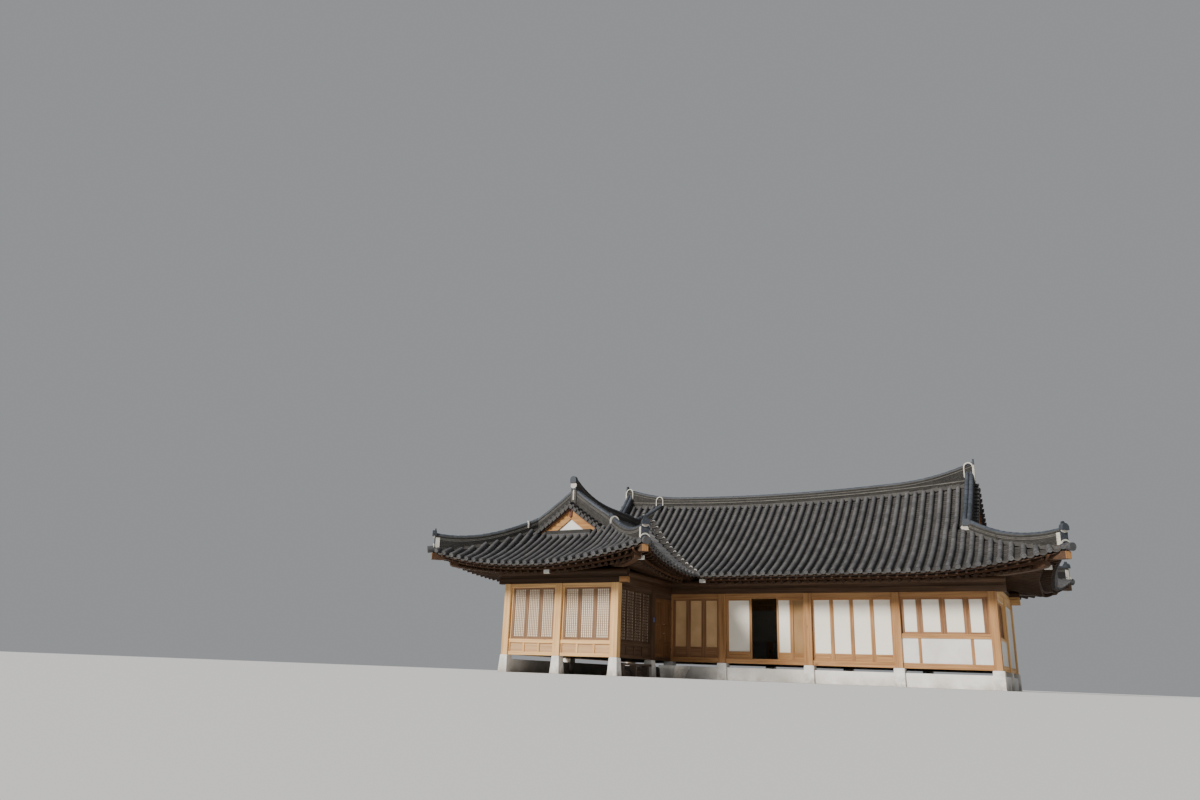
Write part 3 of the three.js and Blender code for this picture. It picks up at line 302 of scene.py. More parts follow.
def build_timber_group():
    net, given, out = shader_group(
        "timber grain", {
            "Light": (0.5, 0.3, 0.15, 1), "Dark": (0.2, 0.1, 0.05, 1), "Streaks": 1.0, "Weather": 0.3},
        ("Color", "Roughness", "Height"))
    grain = net.node("ShaderNodeAttribute", attribute_name="grain").outputs["Vector"]
    bands = net.noise(net.stretched(grain, (0.35, 9.0, 9.0)), 1.6, 4.0, 0.6)
    lines = net.noise(net.stretched(grain, (2.2, 70.0, 70.0)), 1.0, 3.0, 0.6)
    broad = net.noise(grain, 0.55, 2.0)
    knots = net.node("ShaderNodeTexVoronoi",
                     inputs={"Vector": net.stretched(grain, (0.9, 2.4, 2.4)), "Scale": 1.3})
    streak = net.math("MULTIPLY", net.ranged(bands, 0.38, 0.66), given["Streaks"])
    base = net.mixed(streak, given["Light"], given["Dark"])
    worn = net.math("MULTIPLY", net.ranged(broad, 0.42, 0.68), given["Weather"])
    aged = net.mixed(worn, base, (0.20, 0.155, 0.115, 1))
    lined = net.mixed(net.ranged(lines, 0.52, 0.74, 0.0, 0.42), aged, given["Dark"])
    knot = net.math("MULTIPLY", net.ranged(knots.outputs["Distance"], 0.03, 0.11, 1.0, 0.0), 0.7)
    net.feed(out, "Color", net.mixed(knot, lined, (0.07, 0.035, 0.018, 1)))
    net.feed(out, "Roughness", net.ranged(bands, 0.3, 0.7, 0.52, 0.72))
    net.feed(out, "Height", lines)
    return net.tree


def build_mottle_group():
    net, given, out = shader_group(
        "mottled stone", {
            "Light": (0.7, 0.7, 0.7, 1), "Dark": (0.4, 0.4, 0.4, 1), "Patch": 2.0, "Speck": 60.0,
            "Soil": 0.0},
        ("Color", "Roughness", "Height"))
    place = net.node("ShaderNodeTexCoord").outputs["Object"]
    patch = net.noise(place, given["Patch"], 5.0, 0.62)
    speck = net.noise(place, given["Speck"], 2.0)
    base = net.mixed(net.ranged(patch, 0.34, 0.68), given["Light"], given["Dark"])
    spotted = net.mixed(net.ranged(speck, 0.50, 0.70, 0.0, 0.45), base, given["Dark"])
    height = net.node("ShaderNodeSeparateXYZ", inputs={"Vector": place}).outputs["Z"]
    low = net.ranged(height, 0.0, 0.35, 1.0, 0.0)
    ragged = net.math("MULTIPLY", low, net.ranged(patch, 0.3, 0.6))
    soiled = net.math("MULTIPLY", ragged, given["Soil"])
    net.feed(out, "Color", net.mixed(soiled, spotted, (0.23, 0.19, 0.145, 1)))
    net.feed(out, "Roughness", net.ranged(speck, 0.3, 0.7, 0.78, 0.95))
    net.feed(out, "Height", speck)
    return net.tree


def build_tile_group():
    net, given, out = shader_group(
        "weathered tile", {"Light": (0.2, 0.22, 0.25, 1), "Dark": (0.06, 0.07, 0.085, 1), "Bloom": 0.5},
        ("Color", "Roughness", "Height"))
    place = net.node("ShaderNodeTexCoord").outputs["Object"]
    tone = net.node("ShaderNodeAttribute", attribute_name="tone").outputs["Fac"]
    cloud = net.noise(place, 0.7, 4.0, 0.6)
    fine_grain = net.noise(place, 14.0, 4.0, 0.7)
    total = net.math("ADD", net.ranged(tone, 0.0, 1.0, 0.0, 0.62), net.ranged(cloud, 0.3, 0.7, 0.0, 0.38))
    base = net.mixed(total, given["Dark"], given["Light"])
    bloom = net.math("MULTIPLY", net.ranged(fine_grain, 0.50, 0.74), given["Bloom"])
    net.feed(out, "Color", net.mixed(bloom, base, (0.34, 0.35, 0.355, 1)))
    net.feed(out, "Roughness", net.ranged(fine_grain, 0.3, 0.7, 0.55, 0.8))
    net.feed(out, "Height", fine_grain)
    return net.tree


def build_paper_group():
    net, given, out = shader_group(
        "window paper", {"Light": (0.8, 0.76, 0.68, 1), "Dark": (0.6, 0.52, 0.4, 1), "Fade": 0.4},
        ("Color", "Height"))
    place = net.node("ShaderNodeTexCoord").outputs["Object"]
    cloud = net.noise(place, 1.7, 3.0)
    fibre = net.noise(net.stretched(place, (30.0, 30.0, 90.0)), 1.0, 2.0, 0.55)
    faded = net.math("MULTIPLY", net.ranged(cloud, 0.35, 0.68), given["Fade"])
    base = net.mixed(faded, given["Light"], given["Dark"])
    net.feed(out, "Color", net.mixed(net.ranged(fibre, 0.52, 0.75, 0.0, 0.12), base, given["Dark"]))
    net.feed(out, "Height", fibre)
    return net.tree


TIMBER_GROUP = build_timber_group()
MOTTLE_GROUP = build_mottle_group()
TILE_GROUP = build_tile_group()
PAPER_GROUP = build_paper_group()


def finish(name, group, values, bump, bump_distance=0.002, plain=None):
    """A material on one of the shared groups; plain holds the shader's own values."""
    material = bpy.data.materials.new(name)
    material.use_nodes = True
    net = Net(material.node_tree)
    shader = material.node_tree.nodes["Principled BSDF"]
    for key, value in (plain or {}).items():
        shader.inputs[key].default_value = value
    used = net.node("ShaderNodeGroup", node_tree=group, inputs=values)
    net.feed(shader, "Base Color", used.outputs["Color"])
    if "Roughness" in used.outputs:
        net.feed(shader, "Roughness", used.outputs["Roughness"])
    node = net.node("ShaderNodeBump", inputs={
        "Strength": bump, "Distance": bump_distance, "Height": used.outputs["Height"]})
    net.feed(shader, "Normal", node.outputs["Normal"])
    return material


def plain_finish(name, color, roughness, metallic=0.0):
    material = bpy.data.materials.new(name)
    material.use_nodes = True
    shader = material.node_tree.nodes["Principled BSDF"]
    shader.inputs["Base Color"].default_value = (*color, 1)
    shader.inputs["Roughness"].default_value = roughness
    shader.inputs["Metallic"].default_value = metallic
    return material


def timber(name, light, dark, streaks, weather):
    values = {"Light": (*light, 1), "Dark": (*dark, 1), "Streaks": streaks, "Weather": weather}
    return finish(name, TIMBER_GROUP, values, 0.35, plain={"Specular IOR Level": 0.22})


def tile(name, light, dark, bloom):
    return finish(name, TILE_GROUP, {"Light": (*light, 1), "Dark": (*dark, 1), "Bloom": bloom}, 0.3, 0.003)


def mottled(name, light, dark, patch, speck, bump, bump_distance, soil=0.0):
    values = {"Light": (*light, 1), "Dark": (*dark, 1), "Patch": patch, "Speck": speck, "Soil": soil}
    return finish(name, MOTTLE_GROUP, values, bump, bump_distance)


def sheet_paper(name, light, dark, fade):
    values = {"Light": (*light, 1), "Dark": (*dark, 1), "Fade": fade}
    return finish(name, PAPER_GROUP, values, 0.15, 0.001, {"Roughness": 0.85})


honey = timber("honey_timber", (0.84, 0.52, 0.225), (0.48, 0.26, 0.10), 0.75, 0.12)
golden = timber("golden_timber", (0.62, 0.39, 0.20), (0.38, 0.21, 0.10), 0.7, 0.2)
brown = timber("brown_timber", (0.34, 0.175, 0.082), (0.15, 0.068, 0.030), 0.8, 0.12)
middle_brown = timber("main_post_timber", (0.46, 0.245, 0.10), (0.23, 0.105, 0.040), 0.8, 0.08)
shaded = timber("shaded_timber", (0.105, 0.058, 0.032), (0.045, 0.023, 0.013), 0.8, 0.12)
door_wood = timber("door_timber", (0.20, 0.095, 0.038), (0.09, 0.038, 0.015), 0.8, 0.05)
# Painted shade: the eave underside boards are near-black to stand for the deep shade under the eaves.
soffit = timber("soffit_shade_timber", (0.018, 0.009, 0.004), (0.008, 0.004, 0.002), 0.7, 0.0)
# Painted shade: rafter timber darkened for the shadow under the eaves.
rafter_shade_wood = timber("rafter_shade_timber", (0.046, 0.023, 0.011), (0.020, 0.010, 0.005), 0.7, 0.02)
# Painted shade: lath timber darkened for the shadow under the eaves.
lath_shade_wood = timber("lath_shade_timber", (0.085, 0.040, 0.020), (0.042, 0.019, 0.010), 0.7, 0.04)
# Painted shade: beam and purlin timber darkened for the shadow under the eaves.
beam_shade_wood = timber("beam_shade_timber", (0.060, 0.032, 0.016), (0.028, 0.014, 0.007), 0.8, 0.02)
plank = timber("bench_timber", (0.13, 0.095, 0.075), (0.06, 0.042, 0.034), 0.7, 0.3)
barge = timber("barge_timber", (0.46, 0.235, 0.08), (0.28, 0.12, 0.035), 0.8, 0.1)
red_board = timber("apex_timber", (0.16, 0.055, 0.035), (0.08, 0.028, 0.02), 0.6, 0.1)
# Red-brown timber, darkened as painted shade under the gable's edge tiles.
verge_shade_wood = timber("verge_shade_timber", (0.22, 0.10, 0.055), (0.11, 0.045, 0.025), 0.6, 0.1)
corner_wood = timber("corner_timber", (0.085, 0.044, 0.023), (0.038, 0.019, 0.010), 0.7, 0.3)
leaf_wood = timber("leaf_timber", (0.27, 0.155, 0.085), (0.13, 0.068, 0.036), 0.7, 0.2)
lattice_wood = timber("lattice_timber", (0.50, 0.35, 0.23), (0.32, 0.21, 0.13), 0.6, 0.2)
slate = tile("slate_tile", (0.104, 0.102, 0.104), (0.046, 0.046, 0.049), 0.16)
dark_slate = tile("verge_tile", (0.075, 0.072, 0.070), (0.030, 0.029, 0.029), 0.12)
# Soil and painted shade: channel tiles darker than the cover tiles, for the soil in the channels and the
# shadow between the rows.
channel_soil_and_shade_slate = tile("channel_tile", (0.070, 0.063, 0.056), (0.028, 0.025, 0.023), 0.10)
blue_slate = tile("cap_tile", (0.050, 0.060, 0.078), (0.022, 0.028, 0.038), 0.12)
ridge_tile = tile("ridge_tile", (0.066, 0.063, 0.057), (0.030, 0.028, 0.026), 0.12)
end_plaster = mottled("end_plaster", (0.62, 0.60, 0.54), (0.42, 0.39, 0.33), 6.0, 60.0, 0.25, 0.002)
plaster = mottled("lime_plaster", (0.80, 0.785, 0.75), (0.66, 0.63, 0.58), 1.4, 45.0, 0.25, 0.002, 0.5)
mortar = mottled("ridge_mortar", (0.085, 0.080, 0.073), (0.045, 0.042, 0.038), 4.0, 60.0, 0.25, 0.003)
pale_line = mottled("ridge_line", (0.15, 0.142, 0.125), (0.075, 0.071, 0.062), 5.0, 60.0, 0.25, 0.003)
stone = mottled("granite", (0.84, 0.825, 0.78), (0.56, 0.54, 0.50), 3.0, 130.0, 0.4, 0.004, 0.6)
warm_paper = sheet_paper("warm_paper", (0.86, 0.76, 0.62), (0.74, 0.60, 0.44), 0.45)
paper = sheet_paper("cream_paper", (0.88, 0.83, 0.73), (0.78, 0.70, 0.57), 0.35)
amber_paper = sheet_paper("amber_paper", (0.72, 0.47, 0.24), (0.50, 0.30, 0.13), 0.6)
tan_paper = sheet_paper("tan_paper", (0.34, 0.20, 0.085), (0.20, 0.11, 0.04), 0.6)
steel = plain_finish("brushed_steel", (0.72, 0.72, 0.71), 0.35, 0.9)
lamp_pale = plain_finish("lamp_housing", (0.62, 0.61, 0.57), 0.5)
plate_blue = plain_finish("number_plate", (0.03, 0.10, 0.32), 0.4)


# The roof's form
def plain_z(d):
    """Height of the tile surface without corner lift, from the plan distance up the slope."""
    return EAVE_Z + SLOPE * d + CURVE * d * d


def upward(direction):
    return direction if direction.z > 0 else -direction


def reached(x, y):
    """The front right corner reaches a little further out than the others."""
    ahead = min(1.0, max(0.0, (x - END_X - 0.6) / (TIP - 0.6)))
    return x + TIP_REACH * ahead * max(0.0, 1 - (y - MAIN_Y + TIP) / 6.0)


class Side:
    """One side of the roof: s runs along its eave, d is the plan distance up the slope.

    The eave lies at this place across; way is 1 where the slope rises with the coordinate, or else -1.
    Each corner is (its place along the eave, the way inwards, the power of its lift).
    """

    def __init__(self, along, eave, way, corners, sag=None):
        self.along = along
        self.eave = eave
        self.way = way
        self.corners = corners
        self.sag = sag

    def place(self, s, d):
        across = self.eave + self.way * d
        return (s, across) if self.along == "x" else (across, s)

    def coordinates(self, x, y):
        s, across = (x, y) if self.along == "x" else (y, x)
        return s, self.way * (across - self.eave)

    def nearness(self, s):
        """For each corner, 1 at the corner and 0 where its lift begins, with the power of its lift."""
        return [(max(0.0, 1 - max(0.0, way * (s - tip)) / LIFT_REACH), power)
                for tip, way, power in self.corners]

    def lift(self, s, d, same=None):
        fade = min(1.0, max(0.0, 1 - (d + CORNER_OUT) / LIFT_FADE))
        return sum(LIFT * near ** (same or power) * fade for near, power in self.nearness(s))

    def out(self, s):
        return sum(CORNER_OUT * near ** 3 for near, _ in self.nearness(s))

    def mound(self, s, d):
        """The clay under the tiles is piled up towards the hips, but not at the eave."""
        far = min(abs(way * (s - tip) - CORNER_OUT - d) for tip, way, _ in self.corners)
        ramp = min(1.0, max(0.0, (d + self.out(s)) / 0.9)) * min(1.0, max(0.0, (MOUND_TOP - d) / 0.4))
        return MOUND * max(0.0, 1 - far / MOUND_REACH) ** 1.3 * ramp

    def bare(self, s, d):
        return plain_z(d) + self.lift(s, d) + (self.sag(s, d) if self.sag else 0.0)

    def z(self, s, d):
        return self.bare(s, d) + self.mound(s, d)

    def point(self, s, d, z):
        x, y = self.place(s, d)
        return Vector((reached(x, y), y, z))

    def tile(self, s, d):
        return self.point(s, d, self.z(s, d))

    def up(self, s, d):
        e = 0.02
        across = self.tile(s + e, d) - self.tile(s - e, d)
        along = self.tile(s, d + e) - self.tile(s, d - e)
        return upward(across.cross(along).normalized())

    def soffit(self, s, d):
        """Underside of the boards over the flying rafters, then the round rafters, then the roof void."""
        out = self.out(s)
        e = d if d > EAVE_REACH else (d + out) / (1 + out / EAVE_REACH)
        for begin, height, rise in EAVE_BOARDS:
            if e >= begin:
                break
        return height + rise * (e - begin) + plain_z(d) - plain_z(e) + self.lift(s, d)


def main_sag(s, d):
    up = min(1.0, max(0.0, (d - SAG_START) / (MAIN_RUN - SAG_START)))
    return MAIN_SAG * ((s - MIDDLE_X) / 6) ** 2 * up * up


def wing_sag(s, d):
    """The wing's upper slopes are flatter than the main ones, and run into them along the valleys."""
    up = min(1.0, max(0.0, (d - WING_FLAT_START) / (WING_RUN - WING_FLAT_START)))
    to_gable = max(0.0, 3.9 - s) / 3.4
    away = min(1.0, max(0.0, (EAVE_MAIN + d - s) / 1.2))
    return (0.085 * to_gable ** 2 - WING_FLAT) * up ** 1.3 * away * away * (3 - 2 * away)


LEFT_TIP = -TIP
RIGHT_TIP = END_X + TIP
BACK_TIP = BACK_Y + TIP
MAIN_TIP = MAIN_Y - TIP
COURT_TIP = WING_X + TIP
VALLEY_SUM = EAVE_COURT + EAVE_MAIN
RIGHT_VERGE = GABLE_RIGHT - VERGE_IN
LEFT_VERGE = GABLE_LEFT + VERGE_IN
FRONT_VERGE = GABLE_FRONT + VERGE_IN
LEFT_NOTCH = LEFT_VERGE + MAIN_Y
WING_END = WING_RIDGE_X + MAIN_Y
main = Side("x", EAVE_MAIN, 1, [(RIGHT_TIP, -1, EVEN)], main_sag)
back = Side("x", EAVE_BACK, -1, [(RIGHT_TIP, -1, STEEP), (LEFT_TIP, 1, STEEP)], main_sag)
right = Side("y", EAVE_RIGHT, -1, [(MAIN_TIP, 1, EVEN), (BACK_TIP, -1, STEEP)])
left = Side("y", -OVERHANG, 1, [(LEFT_TIP, 1, STEEP), (BACK_TIP, -1, STEEP)], wing_sag)
front = Side("x", -OVERHANG, 1, [(LEFT_TIP, 1, STEEP), (COURT_TIP, -1, BROAD)])
court = Side("y", EAVE_COURT, -1, [(LEFT_TIP, 1, BROAD)], wing_sag)


def spans(side, s):
    """The stretches of one tile row: its low end, its high end, and whether it starts at an eave."""
    low = -side.out(s)
    ridge = MAIN_RUN - RIDGE_HALF
    if side is main:
        start = low
        if s < WING_RIDGE_X:
            start = s + MAIN_Y - EAVE_MAIN
        elif s < EAVE_COURT:
            start = VALLEY_SUM - s - EAVE_MAIN
        top = ridge if s < RIGHT_VERGE else MAIN_Y + END_X - s - EAVE_MAIN - HIP_CLEAR
        return [(start, top, s >= EAVE_COURT)] if s > LEFT_VERGE else []
    if side is back:
        if s < LEFT_VERGE:
            return [(low, EAVE_BACK - (BACK_Y - s) - HIP_CLEAR, True)]
        if s > RIGHT_VERGE:
            return [(low, EAVE_BACK - (s - END_X + BACK_Y) - HIP_CLEAR, True)]
        return [(low, ridge, True)]
    if side is right:
        top = EAVE_RIGHT - GABLE_RIGHT - GABLE_FACE
        near = min(s - MAIN_TIP, BACK_TIP - s) - CORNER_OUT - HIP_CLEAR
        return [(low, min(top, near), True)]
    if side is front:
        top = GABLE_FRONT - GABLE_FACE + OVERHANG
        near = min(s - LEFT_TIP, COURT_TIP - s) - CORNER_OUT - HIP_CLEAR
        return [(low, min(top, near), True)]
    ridge = WING_RUN - RIDGE_HALF
    if side is court:
        if s < FRONT_VERGE:
            return [(low, s - LEFT_TIP - CORNER_OUT - HIP_CLEAR, True)]
        if s < EAVE_MAIN:
            return [(low, ridge, True)]
        return [(s - EAVE_MAIN, ridge, False)]
    if s < FRONT_VERGE:
        return [(low, s - LEFT_TIP - CORNER_OUT - HIP_CLEAR, True)]
    if s < LEFT_NOTCH:
        return [(low, ridge, True)]
    foot = min(GABLE_LEFT - GABLE_FACE + OVERHANG, BACK_TIP - s - CORNER_OUT - HIP_CLEAR)
    parts = [(low, foot, True)]
    if s < WING_END - 0.1:
        parts.append((s - MAIN_Y + OVERHANG, ridge, False))
    return parts


# Tile rows, grown by one node tree from the line of each row
def rows_tree():
    """Tiles along each line: spaced evenly, loosened a little, with another tile at a flagged start."""
    tree = bpy.data.node_groups.new("tile rows", "GeometryNodeTree")
    face = tree.interface
    for label, kind in (("Rows", "Geometry"), ("Tile", "Object"), ("First Tile", "Object"),
                        ("Spacing", "Float"), ("Jitter", "Float"), ("Seed", "Int"), ("Finish", "Material")):
        face.new_socket(label, in_out="INPUT", socket_type="NodeSocket" + kind)
    face.new_socket("Tiles", in_out="OUTPUT", socket_type="NodeSocketGeometry")
    net = Net(tree)
    given = net.node("NodeGroupInput").outputs
    out = net.node("NodeGroupOutput")
    lines = net.node("GeometryNodeMeshToCurve", inputs={"Mesh": given["Rows"]})
    length = net.node("GeometryNodeSplineLength").outputs["Length"]
    steps = net.math("CEIL", net.math("DIVIDE", length, given["Spacing"]))
    spaced = net.node("GeometryNodeResampleCurve", mode="COUNT", inputs={
        "Curve": lines.outputs[0], "Count": net.math("ADD", steps, 1.0)})
    last = net.node("GeometryNodeCurveEndpointSelection", inputs={"Start Size": 0, "End Size": 1})
    before_last = net.node("FunctionNodeBooleanMath", operation="NOT", inputs={0: last.outputs[0]})
    start = net.node("GeometryNodeCurveEndpointSelection", inputs={"Start Size": 1, "End Size": 0})
    lip = net.node("GeometryNodeInputNamedAttribute", data_type="FLOAT", inputs={"Name": "lip"})
    at_lip = net.node("FunctionNodeCompare", data_type="FLOAT", operation="GREATER_THAN", inputs={
        0: lip.outputs["Attribute"], 1: 0.5})
    flagged = net.node("FunctionNodeBooleanMath", operation="AND", inputs={
        0: start.outputs[0], 1: at_lip.outputs[0]})
    up = net.node("GeometryNodeInputNamedAttribute", data_type="FLOAT_VECTOR", inputs={"Name": "up"})
    tangent = net.node("GeometryNodeInputTangent")
    along = net.node("FunctionNodeAlignRotationToVector", axis="X", inputs={"Vector": tangent.outputs[0]})
    turned = net.node("FunctionNodeAlignRotationToVector", axis="Z", pivot_axis="X", inputs={
        "Rotation": along.outputs[0], "Vector": up.outputs["Attribute"]})
    shake = net.node("FunctionNodeRandomValue", data_type="FLOAT_VECTOR", inputs={
        "Min": (-1, -1, -1), "Max": (1, 1, 1), "Seed": given["Seed"]})
    scaled = net.node("ShaderNodeVectorMath", operation="SCALE", inputs={
        0: shake.outputs["Value"], "Scale": given["Jitter"]})
    euler = net.node("FunctionNodeEulerToRotation", inputs={0: scaled.outputs["Vector"]})
    loose = net.node("FunctionNodeRotateRotation", rotation_space="LOCAL", inputs={
        0: turned.outputs[0], 1: euler.outputs[0]})
    tile_shape = net.node("GeometryNodeObjectInfo", inputs={"Object": given["Tile"]})
    first_shape = net.node("GeometryNodeObjectInfo", inputs={"Object": given["First Tile"]})
    body = net.node("GeometryNodeInstanceOnPoints", inputs={
        "Points": spaced.outputs[0], "Selection": before_last.outputs[0],
        "Instance": tile_shape.outputs["Geometry"], "Rotation": loose.outputs[0]})
    lips = net.node("GeometryNodeInstanceOnPoints", inputs={
        "Points": spaced.outputs[0], "Selection": flagged.outputs[0],
        "Instance": first_shape.outputs["Geometry"], "Rotation": turned.outputs[0]})
    both = net.node("GeometryNodeJoinGeometry")
    tree.links.new(body.outputs[0], both.inputs[0])
    tree.links.new(lips.outputs[0], both.inputs[0])
    random_tone = net.node("FunctionNodeRandomValue", data_type="FLOAT", inputs={"Seed": given["Seed"]})
    toned = net.node("GeometryNodeStoreNamedAttribute", data_type="FLOAT", domain="INSTANCE", inputs={
        "Geometry": both.outputs[0], "Name": "tone",
        "Value": next(o for o in random_tone.outputs if o.enabled)})
    real = net.node("GeometryNodeRealizeInstances", inputs={"Geometry": toned.outputs[0]})
    coated = net.node("GeometryNodeSetMaterial",
                      inputs={"Geometry": real.outputs[0], "Material": given["Finish"]})
    net.feed(out, "Tiles", coated.outputs[0])
    return tree


def grown(name, source, tree, inputs):
    """The plain mesh that a node tree makes of a source mesh in the row frame."""
    carrier = bpy.data.objects.new(name, source)
    scene.collection.objects.link(carrier)
    modifier = carrier.modifiers.new("repeat", "NODES")
    modifier.node_group = tree
    for item in tree.interface.items_tree:
        if item.in_out == "INPUT" and item.name in inputs:
            modifier[item.identifier] = inputs[item.name]
    graph = bpy.context.evaluated_depsgraph_get()
    made = bpy.data.meshes.new_from_object(
        carrier.evaluated_get(graph), preserve_all_data_layers=True, depsgraph=graph)
    carrier.modifiers.remove(modifier)
    bpy.data.objects.remove(carrier)
    return made


def template(name, points, faces):
    """An object that only the node trees use, kept out of the picture."""
    mesh = bpy.data.meshes.new(name)
    mesh.from_pydata(points, [], faces)
    turned_out(mesh)
    return bpy.data.objects.new(name, mesh)


def cover_tile(radius=COVER_RADIUS, length=COVER_LENGTH, sink=0.04, sides=8):
    rings = []
    for x, scale, drop in ((0.0, 1.0, 0.0), (length, 0.975, -0.004)):
        ring = [(x, -radius * scale, -sink)]
        for i in range(sides + 1):
            turn = math.pi - math.pi * i / sides
            ring.append((x, radius * scale * math.cos(turn), drop + radius * scale * math.sin(turn)))
        ring.append((x, radius * scale, -sink))
        rings.append(ring)
    count = len(rings[0])
    return [p for ring in rings for p in ring], ring_faces(count, 2)


def channel_tile():
    """One of the stacked channel tiles, tilted a little so that its lower edge shows."""
    rings = []
    for x, raise_by in ((0.0, CHANNEL_TILT), (CHANNEL_LENGTH, -CHANNEL_TILT)):
        ring = []
        for i in range(7):
            y = CHANNEL_HALF * (2 * i / 6 - 1)
            z = -0.005 - CHANNEL_DEPTH * (1 - (y / CHANNEL_HALF) ** 2)
            ring.append((x, y, z + raise_by))
        low = -0.005 - CHANNEL_DEPTH - TILE_THICK + raise_by
        ring += [(x, 0.075, low), (x, -0.075, low)]
        rings.append(ring)
    return [p for ring in rings for p in ring], ring_faces(9, 2)


def end_disc(radius=0.085, thick=0.02, rim=0.014, sides=18):
    """The round end of a cover tile, with a raised rim and a boss."""
    points = []
    for x, r in ((thick - 0.018, radius), (-0.022, radius), (-0.022, radius - rim),
                 (-0.012, radius - rim - 0.002), (-0.012, 0.03), (-0.018, 0.024)):
        for i in range(sides):
            turn = 2 * math.pi * i / sides
            points.append((x, r * math.cos(turn), r * math.sin(turn)))
    return points, ring_faces(sides, 6)


def drip_tile():
    """The hanging tongue under the lowest channel tile."""
    outline = []
    for i in range(9):
        y = DRIP_HALF * (1 - 2 * i / 8)
        outline.append((y, 0.004 - CHANNEL_DEPTH * (1 - (y / DRIP_HALF) ** 2)))
    for i in range(9):
        y = -0.118 + 0.236 * i / 8
        outline.append((y, -0.064 - 0.062 * (1 - (y / 0.118) ** 2)))
    points = [(x, y, z) for x in (-0.006, DRIP_THICK - 0.006) for y, z in outline]
    return points, ring_faces(len(outline), 2)


COVER = template("cover tile", *cover_tile())
CHANNEL = template("channel tile", *channel_tile())
DISC = template("end disc", *end_disc())
DRIP = template("drip tile", *drip_tile())
ROWS = rows_tree()


def line_mesh(name, lines, flags=None):
    """Open lines of (point, up) pairs in plan metres, as edges with an up direction and a lip flag."""
    points = []
    edges = []
    ups = []
    lips = []
    for n, line in enumerate(lines):
        first = len(points)
        for place, up in line:
            points.append((place.x + HOME.x, place.y + HOME.y, place.z))
            ups.append(tuple(up))
            lips.append(1.0 if flags is None or flags[n] else 0.0)
        edges += [(first + i, first + i + 1) for i in range(len(line) - 1)]
    mesh = bpy.data.meshes.new(name)
    mesh.from_pydata(points, edges, [])
    up_data = mesh.attributes.new("up", "FLOAT_VECTOR", "POINT").data
    up_data.foreach_set("vector", np.array(ups, np.float32).ravel())
    lip_data = mesh.attributes.new("lip", "FLOAT", "POINT").data
    lip_data.foreach_set("value", np.array(lips, np.float32))
    return mesh


def row_line(side, s, start, end):
    count = max(1, int((end - start) / 0.2) + 1)
    return [(side.tile(s, d) + side.up(s, d) * ROW_UP, side.up(s, d)) for d in spread(start, end, count)]


def row_places(low, high, anchor):
    first = math.ceil((low - anchor) / ROW_PITCH)
    last = math.floor((high - anchor) / ROW_PITCH)
    return [anchor + ROW_PITCH * k for k in range(first, last + 1)]


valley_starts = []


def tile_field(name, side, low, high, anchor, replaced, seed):
    """The cover tile rows of one side, and the channel tile rows half a pitch beside them."""
    for kind, look, shift, gap, shape, first, step in (
            ("cover", slate, 0.0, VALLEY_GAP, COVER, DISC, COVER_STEP),
            ("channel", channel_soil_and_shade_slate, ROW_PITCH / 2, CHANNEL_GAP, CHANNEL, DRIP, CHANNEL_STEP)):
        lines = []
        flags = []
        for s in row_places(low, high, anchor + shift):
            for start, end, at_eave in spans(side, s):
                if not at_eave and side is not left:
                    start += gap
                if end - start < SHORTEST_ROW and not at_eave:
                    continue
                if not at_eave and side is not left and kind == "cover":
                    valley_starts.append((side, s, start))
                lines.append(row_line(side, s, start, max(end, start + 0.03)))
                flags.append(at_eave)
        tiles = grown(name + kind, line_mesh(name, lines, flags), ROWS, {
            "Tile": shape, "First Tile": first, "Spacing": step, "Jitter": 0.005, "Seed": seed,
            "Finish": look})
        piece(f"{name}_{kind}_tiles", tiles, look, "roof_tile", smooth=35,
              replaces=replaced if kind == "cover" else ())


def build_tiles():
    edge = 0.20
    wing_anchor = WING_RIDGE_X + ROW_PITCH / 2
    slope_anchor = FRONT_VERGE - ROW_PITCH / 2
    left_end = LEFT_TIP + edge
    right_end = RIGHT_TIP - edge
    back_end = BACK_TIP - edge
    tile_field("main_front", main, LEFT_VERGE + 0.04, right_end, ROW_START, ["roof_main_front"], 3)
    tile_field("main_back", back, left_end, right_end, ROW_START, ["roof_main_back"], 5)
    tile_field("right_side", right, MAIN_TIP + edge, back_end, RIDGE_Y, ["roof_right_side"], 7)
    tile_field("wing_front", front, left_end, COURT_TIP - edge, wing_anchor, ["roof_wing_front"], 9)
    tile_field("wing_court", court, left_end, WING_END - 0.15, slope_anchor, ["roof_wing_courtyard"], 11)
    tile_field("wing_left", left, left_end, back_end, slope_anchor,
               ["roof_wing_left", "roof_left_side"], 13)


# Boards under the tiles, and the laths and rafters of the eaves
EDGE_IN = 0.07
DECK_STOPS = 20


def deck_columns(side, s):
    columns = []
    for start, end, at_eave in spans(side, s):
        begin = start + EDGE_IN if at_eave else start
        columns.append((begin, max(begin + 0.05, end + (0.08 if end < MAIN_RUN - 0.3 else -0.02))))
    return columns


def deck_stops(out, begin, end):
    """Distances up the slope: one at each board edge and turn of the soffit, more on long stretches."""
    turns = [e * (1 + out / EAVE_REACH) - out for e in (0.32, 0.36, 0.44, 0.46, 1.0, 1.71, 1.73)]
    stops = [begin] + [d for d in turns if begin + 0.015 < d < end - 0.015] + [end]
    while len(stops) < DECK_STOPS:
        widest = max(range(len(stops) - 1), key=lambda k: stops[k + 1] - stops[k])
        stops.insert(widest + 1, (stops[widest] + stops[widest + 1]) / 2)
    return stops


def deck(shape, side, places, part):
    rings = []
    for s in places:
        columns = deck_columns(side, s)
        if part >= len(columns):
            continue
        begin, end = columns[part]
        stops = deck_stops(side.out(s), begin, end)
        top = [side.point(s, d, side.z(s, d) - BED_DOWN) for d in stops]
        under = [side.point(s, d, min(side.soffit(s, d), side.z(s, d) - BED_DOWN - 0.012)) for d in stops]
        rings.append([tuple(p) for p in top] + [tuple(p) for p in reversed(under)])
    if len(rings) > 1:
        shape.loft(rings, "x")


def fine(low, high, step):
    return spread(low, high, max(2, round((high - low) / step)))


